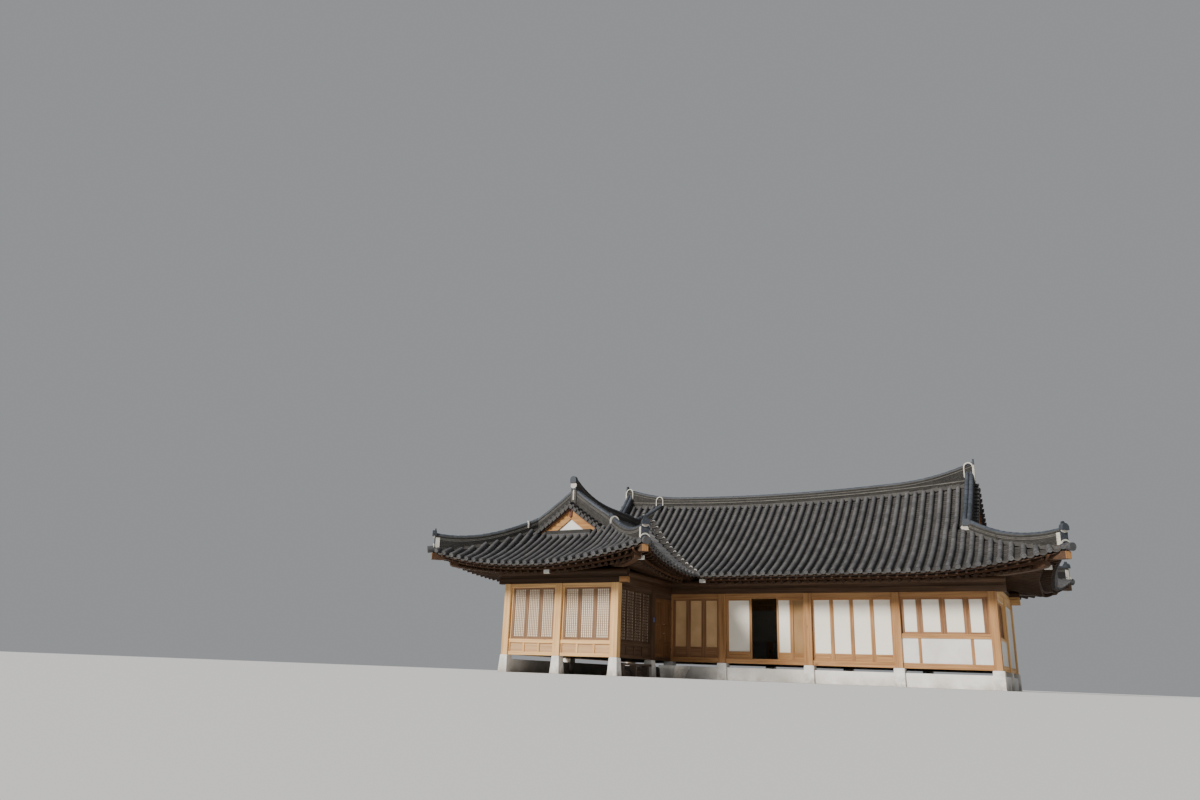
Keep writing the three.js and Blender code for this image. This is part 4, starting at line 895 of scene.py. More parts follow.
def build_decks():
    """The boards, in parts that end beside each turn of the rows' ends: (side, from, to, step, stretch)."""
    gap = 0.004
    edge = HIP_CLEAR + 0.06
    left_end = LEFT_TIP + edge
    right_end = RIGHT_TIP - edge
    back_end = BACK_TIP - edge
    for name, slot, parts in (
            ("main_front", "sunlit_timber", (
                (main, LEFT_VERGE + gap, WING_RIDGE_X - gap, 0.5, 0),
                (main, WING_RIDGE_X + gap, EAVE_COURT - gap, 0.5, 0),
                (main, EAVE_COURT, RIGHT_VERGE - gap, 0.5, 0),
                (main, RIGHT_VERGE + gap, right_end, 0.3, 0))),
            ("main_back", "sunlit_timber", (
                (back, left_end, LEFT_VERGE - gap, 0.3, 0),
                (back, LEFT_VERGE + gap, RIGHT_VERGE - gap, 0.5, 0),
                (back, RIGHT_VERGE + gap, right_end, 0.3, 0))),
            ("right_side", "sunlit_timber", ((right, MAIN_TIP + edge, back_end, 0.3, 0),)),
            ("wing_front", "sunlit_timber", ((front, left_end, COURT_TIP - edge, 0.3, 0),)),
            ("wing_court", "dark_timber", (
                (court, left_end, FRONT_VERGE - gap, 0.3, 0),
                (court, FRONT_VERGE + gap, EAVE_MAIN - gap, 0.5, 0),
                (court, EAVE_MAIN + gap, WING_END - 0.1, 0.5, 0))),
            ("wing_left", "sunlit_timber", (
                (left, left_end, FRONT_VERGE - gap, 0.3, 0),
                (left, FRONT_VERGE + gap, LEFT_NOTCH - gap, 0.5, 0),
                (left, LEFT_NOTCH + gap, back_end, 0.3, 0),
                (left, LEFT_NOTCH + gap, WING_END - 0.12, 0.5, 1)))):
        shape = Shape()
        for side, low, high, step, stretch in parts:
            deck(shape, side, fine(low, high, step), stretch)
        # The boards take the near-black soffit colour, which is painted shade under the eaves.
        piece(f"{name}_boards", shape.mesh(name), soffit, slot)


def circle(centre, across, over, radius, sides):
    turns = [2 * math.pi * k / sides for k in range(sides)]
    return [tuple(centre + (across * math.cos(t) + over * math.sin(t)) * radius) for t in turns]


def swept(shape, centres, half_wide, half_high, along):
    """A squared bar along a line of points, with its sides upright."""
    rings = []
    for i, place in enumerate(centres):
        a = centres[max(0, i - 1)]
        b = centres[min(len(centres) - 1, i + 1)]
        run = Vector((b.x - a.x, b.y - a.y, 0)).normalized()
        across = Vector((-run.y, run.x, 0)) * half_wide
        high = Vector((0, 0, half_high))
        rings.append([tuple(place - across - high), tuple(place + across - high),
                      tuple(place + across + high), tuple(place - across + high)])
    shape.loft(rings, along)


def rod(shape, a, b, radius_a, radius_b, along, sides=12, middle_points=()):
    """A round rod along its centres. One that stands upright comes out without any width."""
    centres = [a, *middle_points, b]
    rings = []
    for i, place in enumerate(centres):
        run = (centres[min(len(centres) - 1, i + 1)] - centres[max(0, i - 1)]).normalized()
        across = run.cross(UPRIGHT).normalized()
        over = across.cross(run).normalized()
        radius = radius_a + (radius_b - radius_a) * i / (len(centres) - 1)
        rings.append(circle(place, across, over, radius, sides))
    shape.loft(rings, along)


def eave_at(side, s, d, z):
    """A point under an eave: d is measured in from the curved tile edge, and z without the corner lift."""
    deep = d - side.out(s) * max(0.0, 1 - d / EAVE_REACH)
    return side.point(s, deep, z + plain_z(deep) - plain_z(d) + side.lift(s, deep))


RAFTER_FOOT = 0.44
RAFTER_Z = 3.285
RAFTER_RISE = 0.25
WALL_DEPTH = 2.05
FAN = 0.16


def rafter_z(d):
    return RAFTER_Z + RAFTER_RISE * (d - RAFTER_FOOT)


def rafter_pair(flying, round_ones, side, s, inner_s, along):
    """One flying rafter and the round rafter under it, from the eave at s to the wall at inner_s."""
    def at(d, z):
        return eave_at(side, s + (inner_s - s) * (d / WALL_DEPTH), d, z)

    swept(flying, [at(0.12, 3.405), at(0.42, 3.464), at(0.60, 3.499)], 0.036, 0.043, along)
    rod(round_ones, at(RAFTER_FOOT, RAFTER_Z), at(WALL_DEPTH, rafter_z(WALL_DEPTH)), 0.062, 0.068,
        along, 12, [at(d, rafter_z(d)) for d in (0.8, 1.2)])


def rafters_along(flying, round_ones, side, low, high, fan_low, fan_high, along):
    """Rafters every tile row; near a lifted corner they fan out from the corner post."""
    for s in row_places(low, high, (low + high) / 2):
        inner = s
        if fan_low is not None and s < fan_low:
            inner = fan_low - (fan_low - s) * FAN
        if fan_high is not None and s > fan_high:
            inner = fan_high + (s - fan_high) * FAN
        rafter_pair(flying, round_ones, side, s, inner, along)


def lath(shape, side, places, d, z, half_wide, half_high, along):
    centres = [eave_at(side, s, d, z) for s in places]
    swept(shape, centres, half_wide, half_high, along)


RAFTERS_IN = 0.34
FAN_IN = 0.75

# Each eave: its side, where its rafters begin and end, where they begin to fan out, and the way it runs
EAVES = (
    ("front", front, LEFT_TIP + RAFTERS_IN, COURT_TIP - RAFTERS_IN, FAN_IN, WING_X - FAN_IN, "x"),
    ("court", court, LEFT_TIP + RAFTERS_IN, EAVE_MAIN - 0.12, FAN_IN, None, "y"),
    ("main_front", main, EAVE_COURT + 0.12, RIGHT_TIP - RAFTERS_IN, None, END_X - FAN_IN, "x"),
    ("right", right, MAIN_TIP + RAFTERS_IN, BACK_TIP - RAFTERS_IN, MAIN_Y + FAN_IN, BACK_Y - FAN_IN, "y"),
    ("back", back, LEFT_TIP + RAFTERS_IN, RIGHT_TIP - RAFTERS_IN, FAN_IN, END_X - FAN_IN, "x"),
    ("left", left, LEFT_TIP + RAFTERS_IN, BACK_TIP - RAFTERS_IN, FAN_IN, BACK_Y - FAN_IN, "y"),
)


def build_eaves():
    for name, side, low, high, fan_low, fan_high, along in EAVES:
        flying = Shape()
        round_ones = Shape()
        laths = Shape()
        rafters_along(flying, round_ones, side, low, high, fan_low, fan_high, "y" if along == "x" else "x")
        ends = fine(low - 0.2 if fan_low is not None else low - 0.06,
                    high + 0.2 if fan_high is not None else high + 0.06, 0.35)
        lath(laths, side, ends, 0.10, 3.462, 0.030, 0.016, along)
        lath(laths, side, ends, 0.445, 3.392, 0.026, 0.036, along)
        # Rafters and laths carry painted shade: their timber is darkened for the shadow under the eaves.
        piece(f"{name}_flying_rafters", flying.mesh(name), rafter_shade_wood, "sunlit_timber", bevel=0.004)
        piece(f"{name}_round_rafters", round_ones.mesh(name), rafter_shade_wood, "sunlit_timber", smooth=50)
        piece(f"{name}_eave_laths", laths.mesh(name), lath_shade_wood, "sunlit_timber")


# Ridges of stacked tiles
COURSE_UP = 0.042
COURSE_THICK = 0.023
COURSE_STEP = 0.295
COURSE_HALF = 0.122
WIDE_HALF = 0.150
CAP_RADIUS = 0.085
NARROW_RADIUS = 0.074
HIP_START = 0.16
HIP_HEIGHT = 0.60
VERGE_HEIGHT = 0.58
VERGE_HALF = 0.1475
BED_OUT = 0.29
BOARD_OUT = 0.145
GABLE_BOTTOM = 4.56


def course_slab(half):
    points = [(x, y, z) for x in (0.004, 0.292) for y, z in (
        (-half, 0.002), (-half + 0.012, -COURSE_THICK), (half - 0.012, -COURSE_THICK), (half, 0.002))]
    return points, ring_faces(4, 2)


COURSE = template("ridge course", *course_slab(COURSE_HALF))
WIDE_COURSE = template("verge course", *course_slab(WIDE_HALF))
CAP = template("ridge cap", *cover_tile(CAP_RADIUS, 0.33, 0.03, 10))
NARROW_CAP = template("verge cap", *cover_tile(NARROW_RADIUS, 0.33, 0.03, 10))
NOTHING = template("nothing", [], [])


def along_line(points):
    """Points with an up direction that stands square to the line."""
    found = []
    for i, place in enumerate(points):
        run = (points[min(len(points) - 1, i + 1)] - points[max(0, i - 1)]).normalized()
        found.append((place, (UPRIGHT - run * run.z).normalized()))
    return found


def shifted(points, aside):
    """The line moved sideways in plan."""
    found = []
    for i, place in enumerate(points):
        run = points[min(len(points) - 1, i + 1)] - points[max(0, i - 1)]
        across = Vector((-run.y, run.x, 0)).normalized()
        found.append(place + across * aside)
    return found


def band(shape, points, lows, highs, half):
    """A solid strip along a line, between two heights over each point."""
    edges = zip(shifted(points, -half), shifted(points, half), lows, highs)
    rings = [[tuple(a + UPRIGHT * low), tuple(b + UPRIGHT * low), tuple(b + UPRIGHT * high),
              tuple(a + UPRIGHT * high)] for a, b, low, high in edges]
    shape.loft(rings, "x")


def course_runs(points, heights, down):
    """The stretches of a course that lie above the roof, as lists of places."""
    runs = [[]]
    for place, height in zip(points, heights):
        if height - down > 0.03:
            runs[-1].append(place + UPRIGHT * (height - down))
        elif runs[-1]:
            runs.append([])
    return [run for run in runs if len(run) > 1]


def build_ridge(name, lines, replaced=(), wide=False, light=(1, 2), foot=None, seed=1, capped=True,
                bed=mortar):
    """Courses of thin tiles, mortar and caps; lines are (points on the tile surface, height at each)."""
    half = WIDE_HALF if wide else COURSE_HALF
    radius = NARROW_RADIUS if wide else CAP_RADIUS
    aside = (-NARROW_RADIUS, NARROW_RADIUS) if wide else (0.0,)
    top = radius + 0.022 if capped else 0.0
    courses = []
    caps = []
    core = Shape()
    pale = Shape()
    for points, heights in lines:
        for n in range(int(max(heights) / COURSE_UP)):
            down = top + COURSE_UP * n
            courses += [along_line(run) for run in course_runs(points, heights, down)]
            if n in light:
                gap = [h - down - COURSE_THICK for h in heights]
                band(pale, points, [g - 0.018 for g in gap], gap, half - 0.005)
        if foot is not None:
            band(pale, points, [foot] * len(points), [foot + 0.035] * len(points), half + 0.006)
        core_top = [h - radius + 0.005 if capped else h - 0.012 for h in heights]
        band(core, points, [-0.10] * len(points), core_top, half - 0.024)
        if capped:
            level = [p + UPRIGHT * (h - radius) for p, h in zip(points, heights)]
            caps += [along_line(shifted(level, a)) for a in aside]
    base = {"First Tile": NOTHING, "Spacing": COURSE_STEP, "Jitter": 0.008, "Seed": seed}
    layers = grown(name + "layers", line_mesh(name, courses), ROWS, {
        **base, "Tile": WIDE_COURSE if wide else COURSE, "Finish": ridge_tile})
    piece(f"{name}_mortar", core.mesh(name), bed, "roof_tile", replaces=replaced)
    piece(f"{name}_courses", layers, ridge_tile, "roof_tile")
    if pale.points:
        piece(f"{name}_light_lines", pale.mesh(name), pale_line, "roof_tile")
    if caps:
        tops = grown(name + "tops", line_mesh(name, caps), ROWS, {
            **base, "Tile": NARROW_CAP if wide else CAP, "Finish": blue_slate})
        piece(f"{name}_caps", tops, blue_slate, "roof_tile", smooth=35)


def plate(shape, centre, run, outline, thick):
    """An upright plate that faces along run; the outline is (sideways, up) from the centre."""
    run = Vector(run).normalized()
    side = Vector((-run.y, run.x, 0))
    rings = []
    for t in (-thick / 2, thick / 2):
        rings.append([tuple(centre + run * t + side * y + UPRIGHT * z) for y, z in outline])
    shape.loft(rings, "z")


def round_head(width, height):
    """The outline of a plate with a round top, standing on zero."""
    outline = [(-width / 2, 0.0), (width / 2, 0.0)]
    for i in range(9):
        turn = math.pi * i / 8
        outline.append((width / 2 * math.cos(turn), height - width / 2 + width / 2 * math.sin(turn)))
    return outline


def oval(width, height):
    turns = [2 * math.pi * i / 20 for i in range(20)]
    return [(width / 2 * math.cos(t), height / 2 + height / 2 * math.sin(t)) for t in turns]


def box_line(half, height):
    return [(-half, 0.0), (half, 0.0), (half, height), (-half, height)]


def arch_line(width, height, line):
    """The outline of a thin arch that stands on two legs."""
    half = width / 2
    outer = round_head(width, height)[1:]
    inner = [(y * (half - line) / half, z if k == 0 else z - line) for k, (y, z) in enumerate(outer)]
    outer.append((-half, 0.0))
    inner.append((-half + line, 0.0))
    return outer + list(reversed(inner))


def wedge_line(width, height, line):
    """A low wavy arch, as plaster pressed between two tiles."""
    turns = [math.pi * i / 10 for i in range(11)]
    outer = [(width / 2 * math.cos(t), height * math.sin(t) ** 1.5) for t in turns]
    return outer + [(y, z - line) for y, z in reversed(outer)]


def close_ends(name, ends):
    """Closes ridges with plaster and cap tiles; each end is (centre, run, parts)."""
    white = Shape()
    dark = Shape()
    for centre, run, parts in ends:
        ahead = Vector(run).normalized()
        for kind, low, out, outline, thick in parts:
            shape = white if kind == "white" else dark
            plate(shape, Vector(centre) + ahead * out + UPRIGHT * low, run, outline, thick)
    piece(f"{name}_end_plaster", white.mesh(name), end_plaster, "lime_plaster", smooth=35)
    piece(f"{name}_end_tiles", dark.mesh(name), blue_slate, "roof_tile", smooth=35)


# Each corner: its tip, the way inwards, the side that it is measured on, and where its hip meets the verge
CORNERS = {
    "front_left": ((LEFT_TIP, LEFT_TIP), (1, 1), front, GABLE_FRONT + OVERHANG + 0.625),
    "front_right": ((COURT_TIP, LEFT_TIP), (-1, 1), front, GABLE_FRONT + OVERHANG + 0.625),
    "right_front": ((RIGHT_TIP, MAIN_TIP), (-1, 1), right, EAVE_RIGHT - GABLE_RIGHT + 0.32),
    "right_back": ((RIGHT_TIP, BACK_TIP), (-1, -1), right, EAVE_RIGHT - GABLE_RIGHT + 0.32),
    "left_back": ((LEFT_TIP, BACK_TIP), (1, -1), back, GABLE_LEFT + OVERHANG + 0.625),
}


def corner_place(name, c):
    """The plan place at c along a corner's diagonal, and its coordinates on the side."""
    tip, inward, side, _ = CORNERS[name]
    x = tip[0] + inward[0] * c
    y = tip[1] + inward[1] * c
    return (reached(x, y), y), side, *side.coordinates(x, y)


def corner_point(name, c, drop=0.0):
    place, side, s, d = corner_place(name, c)
    return Vector((*place, side.z(s, d) - drop))


def corner_underside(name, c):
    _, side, s, d = corner_place(name, c)
    return 3.2 + 0.21 * min(d, 1.86) + max(0.0, d - 1.86) * 0.5 + side.lift(s, d)


def outward(name):
    return -Vector((*CORNERS[name][1], 0)).normalized()


def hip_line(name):
    marks = spread(HIP_START, CORNERS[name][3], 16)
    heights = []
    for c in marks:
        _, side, s, d = corner_place(name, c)
        over = HIP_HEIGHT - 0.04 * (c - HIP_START) / 2.5 - side.mound(s, d)
        heights.append(over - side.lift(s, d) + side.lift(s, d, STEEP))
    return [corner_point(name, c) for c in marks], heights


def corner_rafter(name):
    """Two stacked corner timbers, the upper one reaching further out, and the tile over their end."""
    run = -outward(name)
    across = Vector((-run.y, run.x, 0))

    def timber_ring(c, top, bottom, half):
        place = corner_point(name, c)
        return [tuple(Vector((place.x, place.y, z)) + across * w)
                for w, z in ((-half, bottom), (half, bottom), (half, top), (-half, top))]

    upper = []
    for c in (0.12, 0.35, 0.7, 1.15, 1.6, 2.1):
        top = corner_point(name, c).z - 0.155
        upper.append(timber_ring(c, top, top - 0.225 - 0.03 * min(1, c), 0.100))
    lower = []
    for c in (0.60, 0.66, 1.0, 1.5, 1.9, 2.5):
        top = corner_point(name, c).z - 0.40
        bottom = corner_underside(name, c) - (0.15 if c > 0.62 else 0.11)
        lower.append(timber_ring(c, max(top, bottom + 0.08), bottom, 0.112))
    timbers = Shape()
    timbers.loft(upper, "x")
    timbers.loft(lower, "x")
    piece(f"{name}_corner_timbers", timbers.mesh(name), corner_wood, "dark_timber",
          replaces=[f"{name}_corner_rafter"], bevel=0.006)
    grain = Shape()
    plate(grain, corner_point(name, 0.115, 0.375), run, box_line(0.094, 0.212), 0.016)
    piece(f"{name}_end_grain", grain.mesh(name), middle_brown, "dark_timber")
    cap = Shape()
    tip = corner_point(name, 0.02, 0.05)
    rod(cap, tip - run * 0.03, tip + run * 0.28 + UPRIGHT * 0.05, 0.125, 0.115, "x", 14)
    piece(f"{name}_tip_tile", cap.mesh(name), slate, "roof_tile", smooth=35)


def hip_step(name):
    """The plaster arch where the gable's ridge ends on top of the hip ridge."""
    points, heights = hip_line(name)
    place = points[-3] + UPRIGHT * (heights[-3] - 0.25)
    return place, outward(name), [
        ("white", 0.0, 0.02, arch_line(0.33, 0.285, 0.05), 0.04),
        ("dark", 0.0, 0.01, round_head(0.28, 0.25), 0.03)]


def hip_end(name):
    run = outward(name)
    place = corner_point(name, HIP_START) - run * 0.02
    return place, run, [
        ("white", 0.03, -0.07, box_line(0.135, 0.36), 0.15),
        ("dark", 0.0, 0.015, box_line(0.13, 0.42), 0.03),
        ("dark", 0.46, 0.05, round_head(0.25, 0.20), 0.14),
        ("dark", 0.60, 0.02, round_head(0.14, 0.13), 0.04),
        ("white", 0.38, 0.045, oval(0.22, 0.12), 0.03),
        ("white", 0.08, 0.050, wedge_line(0.31, 0.11, 0.05), 0.03),
        ("dark", 0.0, 0.030, round_head(0.22, 0.15), 0.06)]


def build_gable(name, place, surface, apex, feet, hips, seat, grain, verge_out=0.0, longer=0.0):
    """A gable's descending ridges, edge tiles, boards and plaster; out starts at the gable's face."""
    verges = []
    ends = []
    for foot in feet:
        marks = spread(foot + (longer if foot > apex else -longer), apex, 12)
        points = [Vector(place(verge_out - VERGE_HALF, s, surface(s))) for s in marks]
        verges.append((points, [VERGE_HEIGHT] * len(points)))
        run = points[0] - points[1]
        run.z = 0
        ends.append((points[0], run, [
            ("dark", VERGE_HEIGHT - 0.20, 0.05, round_head(0.27, 0.22), 0.12),
            ("white", VERGE_HEIGHT - 0.36, 0.04, oval(0.37, 0.19), 0.03),
            ("white", 0.06, 0.02, box_line(0.165, 0.035), 0.03)]))
    build_ridge(f"{name}_verge", verges, replaced=[f"{name}_verge_and_hips"], wide=True, seed=31)
    build_ridge(f"{name}_hip", [hip_line(hip) for hip in hips], seed=37)
    ends += [hip_end(hip) for hip in hips]
    if not longer:
        ends += [hip_step(hip) for hip in hips]
    close_ends(f"{name}_verge", ends)
    build_edge_tiles(name, place, surface, apex, feet, seat)
    build_gable_face(name, place, surface, apex, feet, seat, grain, -2.2 * verge_out)
    across = [s for s in spread(*feet, 40) if surface(s) - 0.54 > seat - 0.10]
    line = [Vector(place(0.20, s, seat - 0.06)) for s in spread(min(across), max(across), 6)]
    build_ridge(f"{name}_gable_foot", [(line, [0.155] * 7)], light=(), seed=41, capped=False,
                bed=dark_slate)


def build_gable_face(name, place, surface, apex, feet, seat, grain, inner):
    """The bed under the edge tiles, the bargeboards with their strips, the apex board and the plaster."""
    bed = Shape()
    boards = Shape()
    strips = Shape()
    wall = Shape()

    def ring(s, section):
        return [place(out, s, z) for out, z in section]

    def box(out0, out1, low, top):
        return (out0, low), (out1, low), (out1, top), (out0, top)

    for foot in feet:
        marks = spread(foot, apex, 10)
        stops = [(s, max(surface(s) - 0.20, seat)) for s in marks]
        bed.loft([ring(s, ((inner, low), (BED_OUT, low), (BED_OUT, max(low + 0.02, surface(s) - 0.05)),
                           (inner, max(low + 0.02, surface(s) - 0.03)))) for s, low in stops], grain)
        shown = [(s, low) for s, low in stops if low > seat + 0.03]
        boards.loft([ring(s, box(0.09, BOARD_OUT, low, max(low - 0.40, seat))) for s, low in shown], grain)
        strips.loft([ring(s, box(BOARD_OUT, 0.20, low, low - 0.045)) for s, low in shown[1:]], grain)
        wall.loft([ring(s, box(0.01, 0.095, GABLE_BOTTOM, low)) for s, low in stops], "z")
    high = surface(apex)
    cover = Shape()
    cover.loft([ring(apex + w, box(0.15, 0.19, high - 0.22, high - 0.56 + abs(w)))
                for w in (-0.06, 0.0, 0.06)], "z")
    # The bed takes the channel tiles' darkened slate, which carries soil and painted shade.
    piece(f"{name}_verge_bed", bed.mesh(name), channel_soil_and_shade_slate, "roof_tile")
    piece(f"{name}_bargeboards", boards.mesh(name), barge if name != "left" else honey, "sunlit_timber",
          bevel=0.004)
    piece(f"{name}_board_strips", strips.mesh(name), verge_shade_wood, "sunlit_timber")
    piece(f"{name}_apex_board", cover.mesh(name), red_board, "dark_timber", bevel=0.004)
    piece(f"{name}_gable_plaster", wall.mesh(name), plaster, "lime_plaster", replaces=[f"{name}_gable"])


def build_edge_tiles(name, place, surface, apex, feet, seat):
    """Two staggered rows of short tiles along the gable's edge, with their ends outwards."""
    rows = {"large": [], "small": []}
    for foot in feet:
        count = int(math.hypot(foot - apex, surface(apex) - surface(foot)) / 0.185)
        e = 0.01 if foot > apex else -0.01
        for key, shift, level, reach in (("large", 0.5, -0.125, 0.315), ("small", 0.0, -0.020, 0.29)):
            for i in range(count):
                s = apex + (foot - apex) * (i + shift) / count
                if surface(s) - 0.21 < seat or (i == 0 and key == "small" and foot != feet[0]):
                    continue
                lean = Vector(place(0, s + e, surface(s + e))) - Vector(place(0, s - e, surface(s - e)))
                out = Vector(place(1, s, 0)) - Vector(place(0, s, 0))
                high = upward(lean.cross(out).normalized())
                outer = Vector(place(reach, s, surface(s) + level))
                inner = Vector(place(0.01, s, surface(s) + level + 0.03))
                rows[key].append([(outer, high), (inner, high)])
    for key, shape, disc in (("large", VERGE_TILE, VERGE_DISC), ("small", SMALL_TILE, SMALL_DISC)):
        made = grown(name + key, line_mesh(name, rows[key]), ROWS, {
            "Tile": shape, "First Tile": disc, "Spacing": 1.0, "Jitter": 0.01, "Seed": 5,
            "Finish": dark_slate})
        piece(f"{name}_verge_{key}_tiles", made, dark_slate, "roof_tile", smooth=35)


VERGE_TILE = template("verge tile", *cover_tile(0.064, 0.31, 0.035, 8))
VERGE_DISC = template("verge end disc", *end_disc(0.069, 0.020, 0.012, 14))
SMALL_TILE = template("small verge tile", *cover_tile(0.044, 0.28, 0.030, 8))
SMALL_DISC = template("small end disc", *end_disc(0.048, 0.018, 0.010, 12))


def main_surface(x):
    """The height of the main roof over a line across it, as a function of y."""
    def height(y):
        return main.bare(x, min(y, 2 * RIDGE_Y - y) - EAVE_MAIN)

    return height


def gable_on_right(out, s, z):
    return (GABLE_RIGHT + out, s, z)


def gable_on_left(out, s, z):
    return (GABLE_LEFT - out, s, z)


def gable_on_front(out, s, z):
    return (s, GABLE_FRONT - out, z)


def wing_surface(x):
    return left.bare(GABLE_FRONT, min(x, WING_X - x) + OVERHANG)


def build_gables():
    build_gable("right", gable_on_right, main_surface(GABLE_RIGHT), RIDGE_Y,
                (MAIN_Y + END_X - RIGHT_VERGE - 0.15, RIGHT_VERGE - END_X + BACK_Y + 0.15),
                ("right_front", "right_back"), plain_z(EAVE_RIGHT - GABLE_RIGHT - GABLE_FACE) + 0.04, "y",
                verge_out=0.17, longer=0.32)
    build_gable("left", gable_on_left, main_surface(GABLE_LEFT), RIDGE_Y,
                (LEFT_NOTCH + 0.04, BACK_Y - LEFT_VERGE + 0.15), ("left_back",),
                plain_z(GABLE_LEFT - GABLE_FACE + OVERHANG) + 0.04, "y")
    build_gable("front", gable_on_front, wing_surface, WING_RIDGE_X,
                (FRONT_VERGE - 0.15, WING_X - FRONT_VERGE + 0.15), ("front_left", "front_right"),
                plain_z(GABLE_FRONT - GABLE_FACE + OVERHANG) + 0.04, "x")


def main_ridge_height(x):
    return 0.43 + 0.36 * max(0.0, (abs(x - MIDDLE_X) - 4.5) / 2.5) ** 2


def wing_ridge_height(y):
    return 0.42 + 0.58 * max(0.0, (4.2 - y) / 3.66) ** 3 - 0.17 * max(0.0, (y - 5.0) / (WING_END - 5.0))


def build_ridges():
    far_end = GABLE_RIGHT + 0.16
    marks = spread(GABLE_LEFT - 0.02, far_end, 56)
    points = [Vector((x, RIDGE_Y, main.bare(x, MAIN_RUN))) for x in marks]
    build_ridge("main_ridge", [(points, [main_ridge_height(x) for x in marks])], replaced=["main_ridge"],
                light=(1,), foot=0.13, seed=21)
    marks = spread(GABLE_FRONT - 0.02, WING_END, 30)
    points = [Vector((WING_RIDGE_X, y, left.bare(y, WING_RUN))) for y in marks]
    build_ridge("wing_ridge", [(points, [wing_ridge_height(y) for y in marks])],
                replaced=["wing_ridge"], seed=23)
    joined = left.bare(WING_END, WING_RUN) + wing_ridge_height(WING_END)
    marks = spread(WING_END - 0.05, RIDGE_Y - 0.14, 10)
    points = [Vector((x, y, main.bare(x, y - EAVE_MAIN)))
              for x, y in zip(spread(WING_RIDGE_X, JOIN_X, 10), marks)]
    build_ridge("joining_ridge", [(points, [max(0.225, joined - p.z) for p in points])], wide=True, seed=25)
    tops = {x: main.bare(x, MAIN_RUN) + main_ridge_height(x) for x in (GABLE_LEFT, JOIN_X, far_end)}
    ends = []
    for x, shift, tall in ((GABLE_LEFT, VERGE_HALF, 0.50), (far_end, -VERGE_HALF, 0.56), (JOIN_X, 0, 0.40)):
        for way in (-1, 1):
            if x == JOIN_X and way == 1:
                continue
            place = Vector((x + shift, RIDGE_Y + way * 0.135, tops[x] - tall - 0.04))
            ends.append((place, (0, way, 0), [("white", 0.0, 0.0, arch_line(0.34, tall, 0.036), 0.03)]))
    for x, way in ((GABLE_LEFT, -1), (far_end, 1)):
        base = main.bare(x, MAIN_RUN)
        ends.append((Vector((x, RIDGE_Y, base)), (way, 0, 0), [
            ("dark", tops[x] - base - 0.16, 0.02, round_head(0.20, 0.26), 0.05),
            ("white", 0.10, 0.035, round_head(0.27, tops[x] - base - 0.20), 0.03)]))
    close_ends("main_ridge", ends)
    base = wing_surface(WING_RIDGE_X)
    close_ends("wing_ridge", [(Vector((WING_RIDGE_X, GABLE_FRONT, base)), (0, -1, 0), [
        ("dark", 0.76, 0.04, round_head(0.25, 0.24), 0.14),
        ("white", 0.55, 0.035, oval(0.25, 0.23), 0.04),
        ("dark", 0.50, 0.030, round_head(0.20, 0.20), 0.03),
        ("white", 0.12, 0.020, box_line(0.026, 0.43), 0.03)])])
    for name in CORNERS:
        corner_rafter(name)


def build_valley():
    """Plaster plugs at the low ends of the rows over the valleys, and the valleys' own gutter tiles."""
    plugs = Shape()
    for side, s, start in valley_starts:
        place = side.tile(s, start)
        run = (side.tile(s, start + 0.1) - place).normalized()
        up = side.up(s, start)
        across = run.cross(up).normalized()
        plugs.loft([circle(place + run * t, across, up, r, 12)
                    for t, r in ((-0.012, 0.060), (0.03, 0.066))], "x")
    piece("valley_plaster_plugs", plugs.mesh("plugs"), plaster, "lime_plaster", smooth=40)
    lines = []
    for a, b in (((EAVE_COURT - 0.05, EAVE_MAIN + 0.05), (WING_RIDGE_X + 0.10, WING_END - 0.10)),
                 ((LEFT_VERGE, LEFT_NOTCH), (WING_RIDGE_X - 0.10, WING_END - 0.10))):
        run = Vector((b[0] - a[0], b[1] - a[1], 0)).normalized()
        across = Vector((-run.y, run.x, 0))
        for shift, raised in ((-0.145, 0.032), (0.145, 0.032), (0.0, 0.012)):
            line = []
            for t in spread(0, 1, 16):
                x = a[0] + (b[0] - a[0]) * t
                y = a[1] + (b[1] - a[1]) * t
                line.append(Vector((x, y, main.z(x, y - EAVE_MAIN) + raised)) + across * shift)
            lines.append(along_line(line))
    gutter = grown("gutter", line_mesh("gutter", lines), ROWS, {
        "Tile": CHANNEL, "First Tile": NOTHING, "Spacing": CHANNEL_STEP, "Jitter": 0.01, "Seed": 6,
        "Finish": slate})
    piece("valley_gutter_tiles", gutter, slate, "roof_tile", smooth=35)


# Timber frame, leaves and walls
def bar(shape, along, a, b, line, thick, z0, z1, grain=None):
    if along == "x":
        shape.block(a, b, line - thick / 2, line + thick / 2, z0, z1, grain)
    else:
        shape.block(line - thick / 2, line + thick / 2, a, b, z0, z1, grain)


LEAF_THICK = 0.048
LEAF_RAIL = 0.055
BAR_DEPTH = 0.024
LEAF_GAP = 0.002


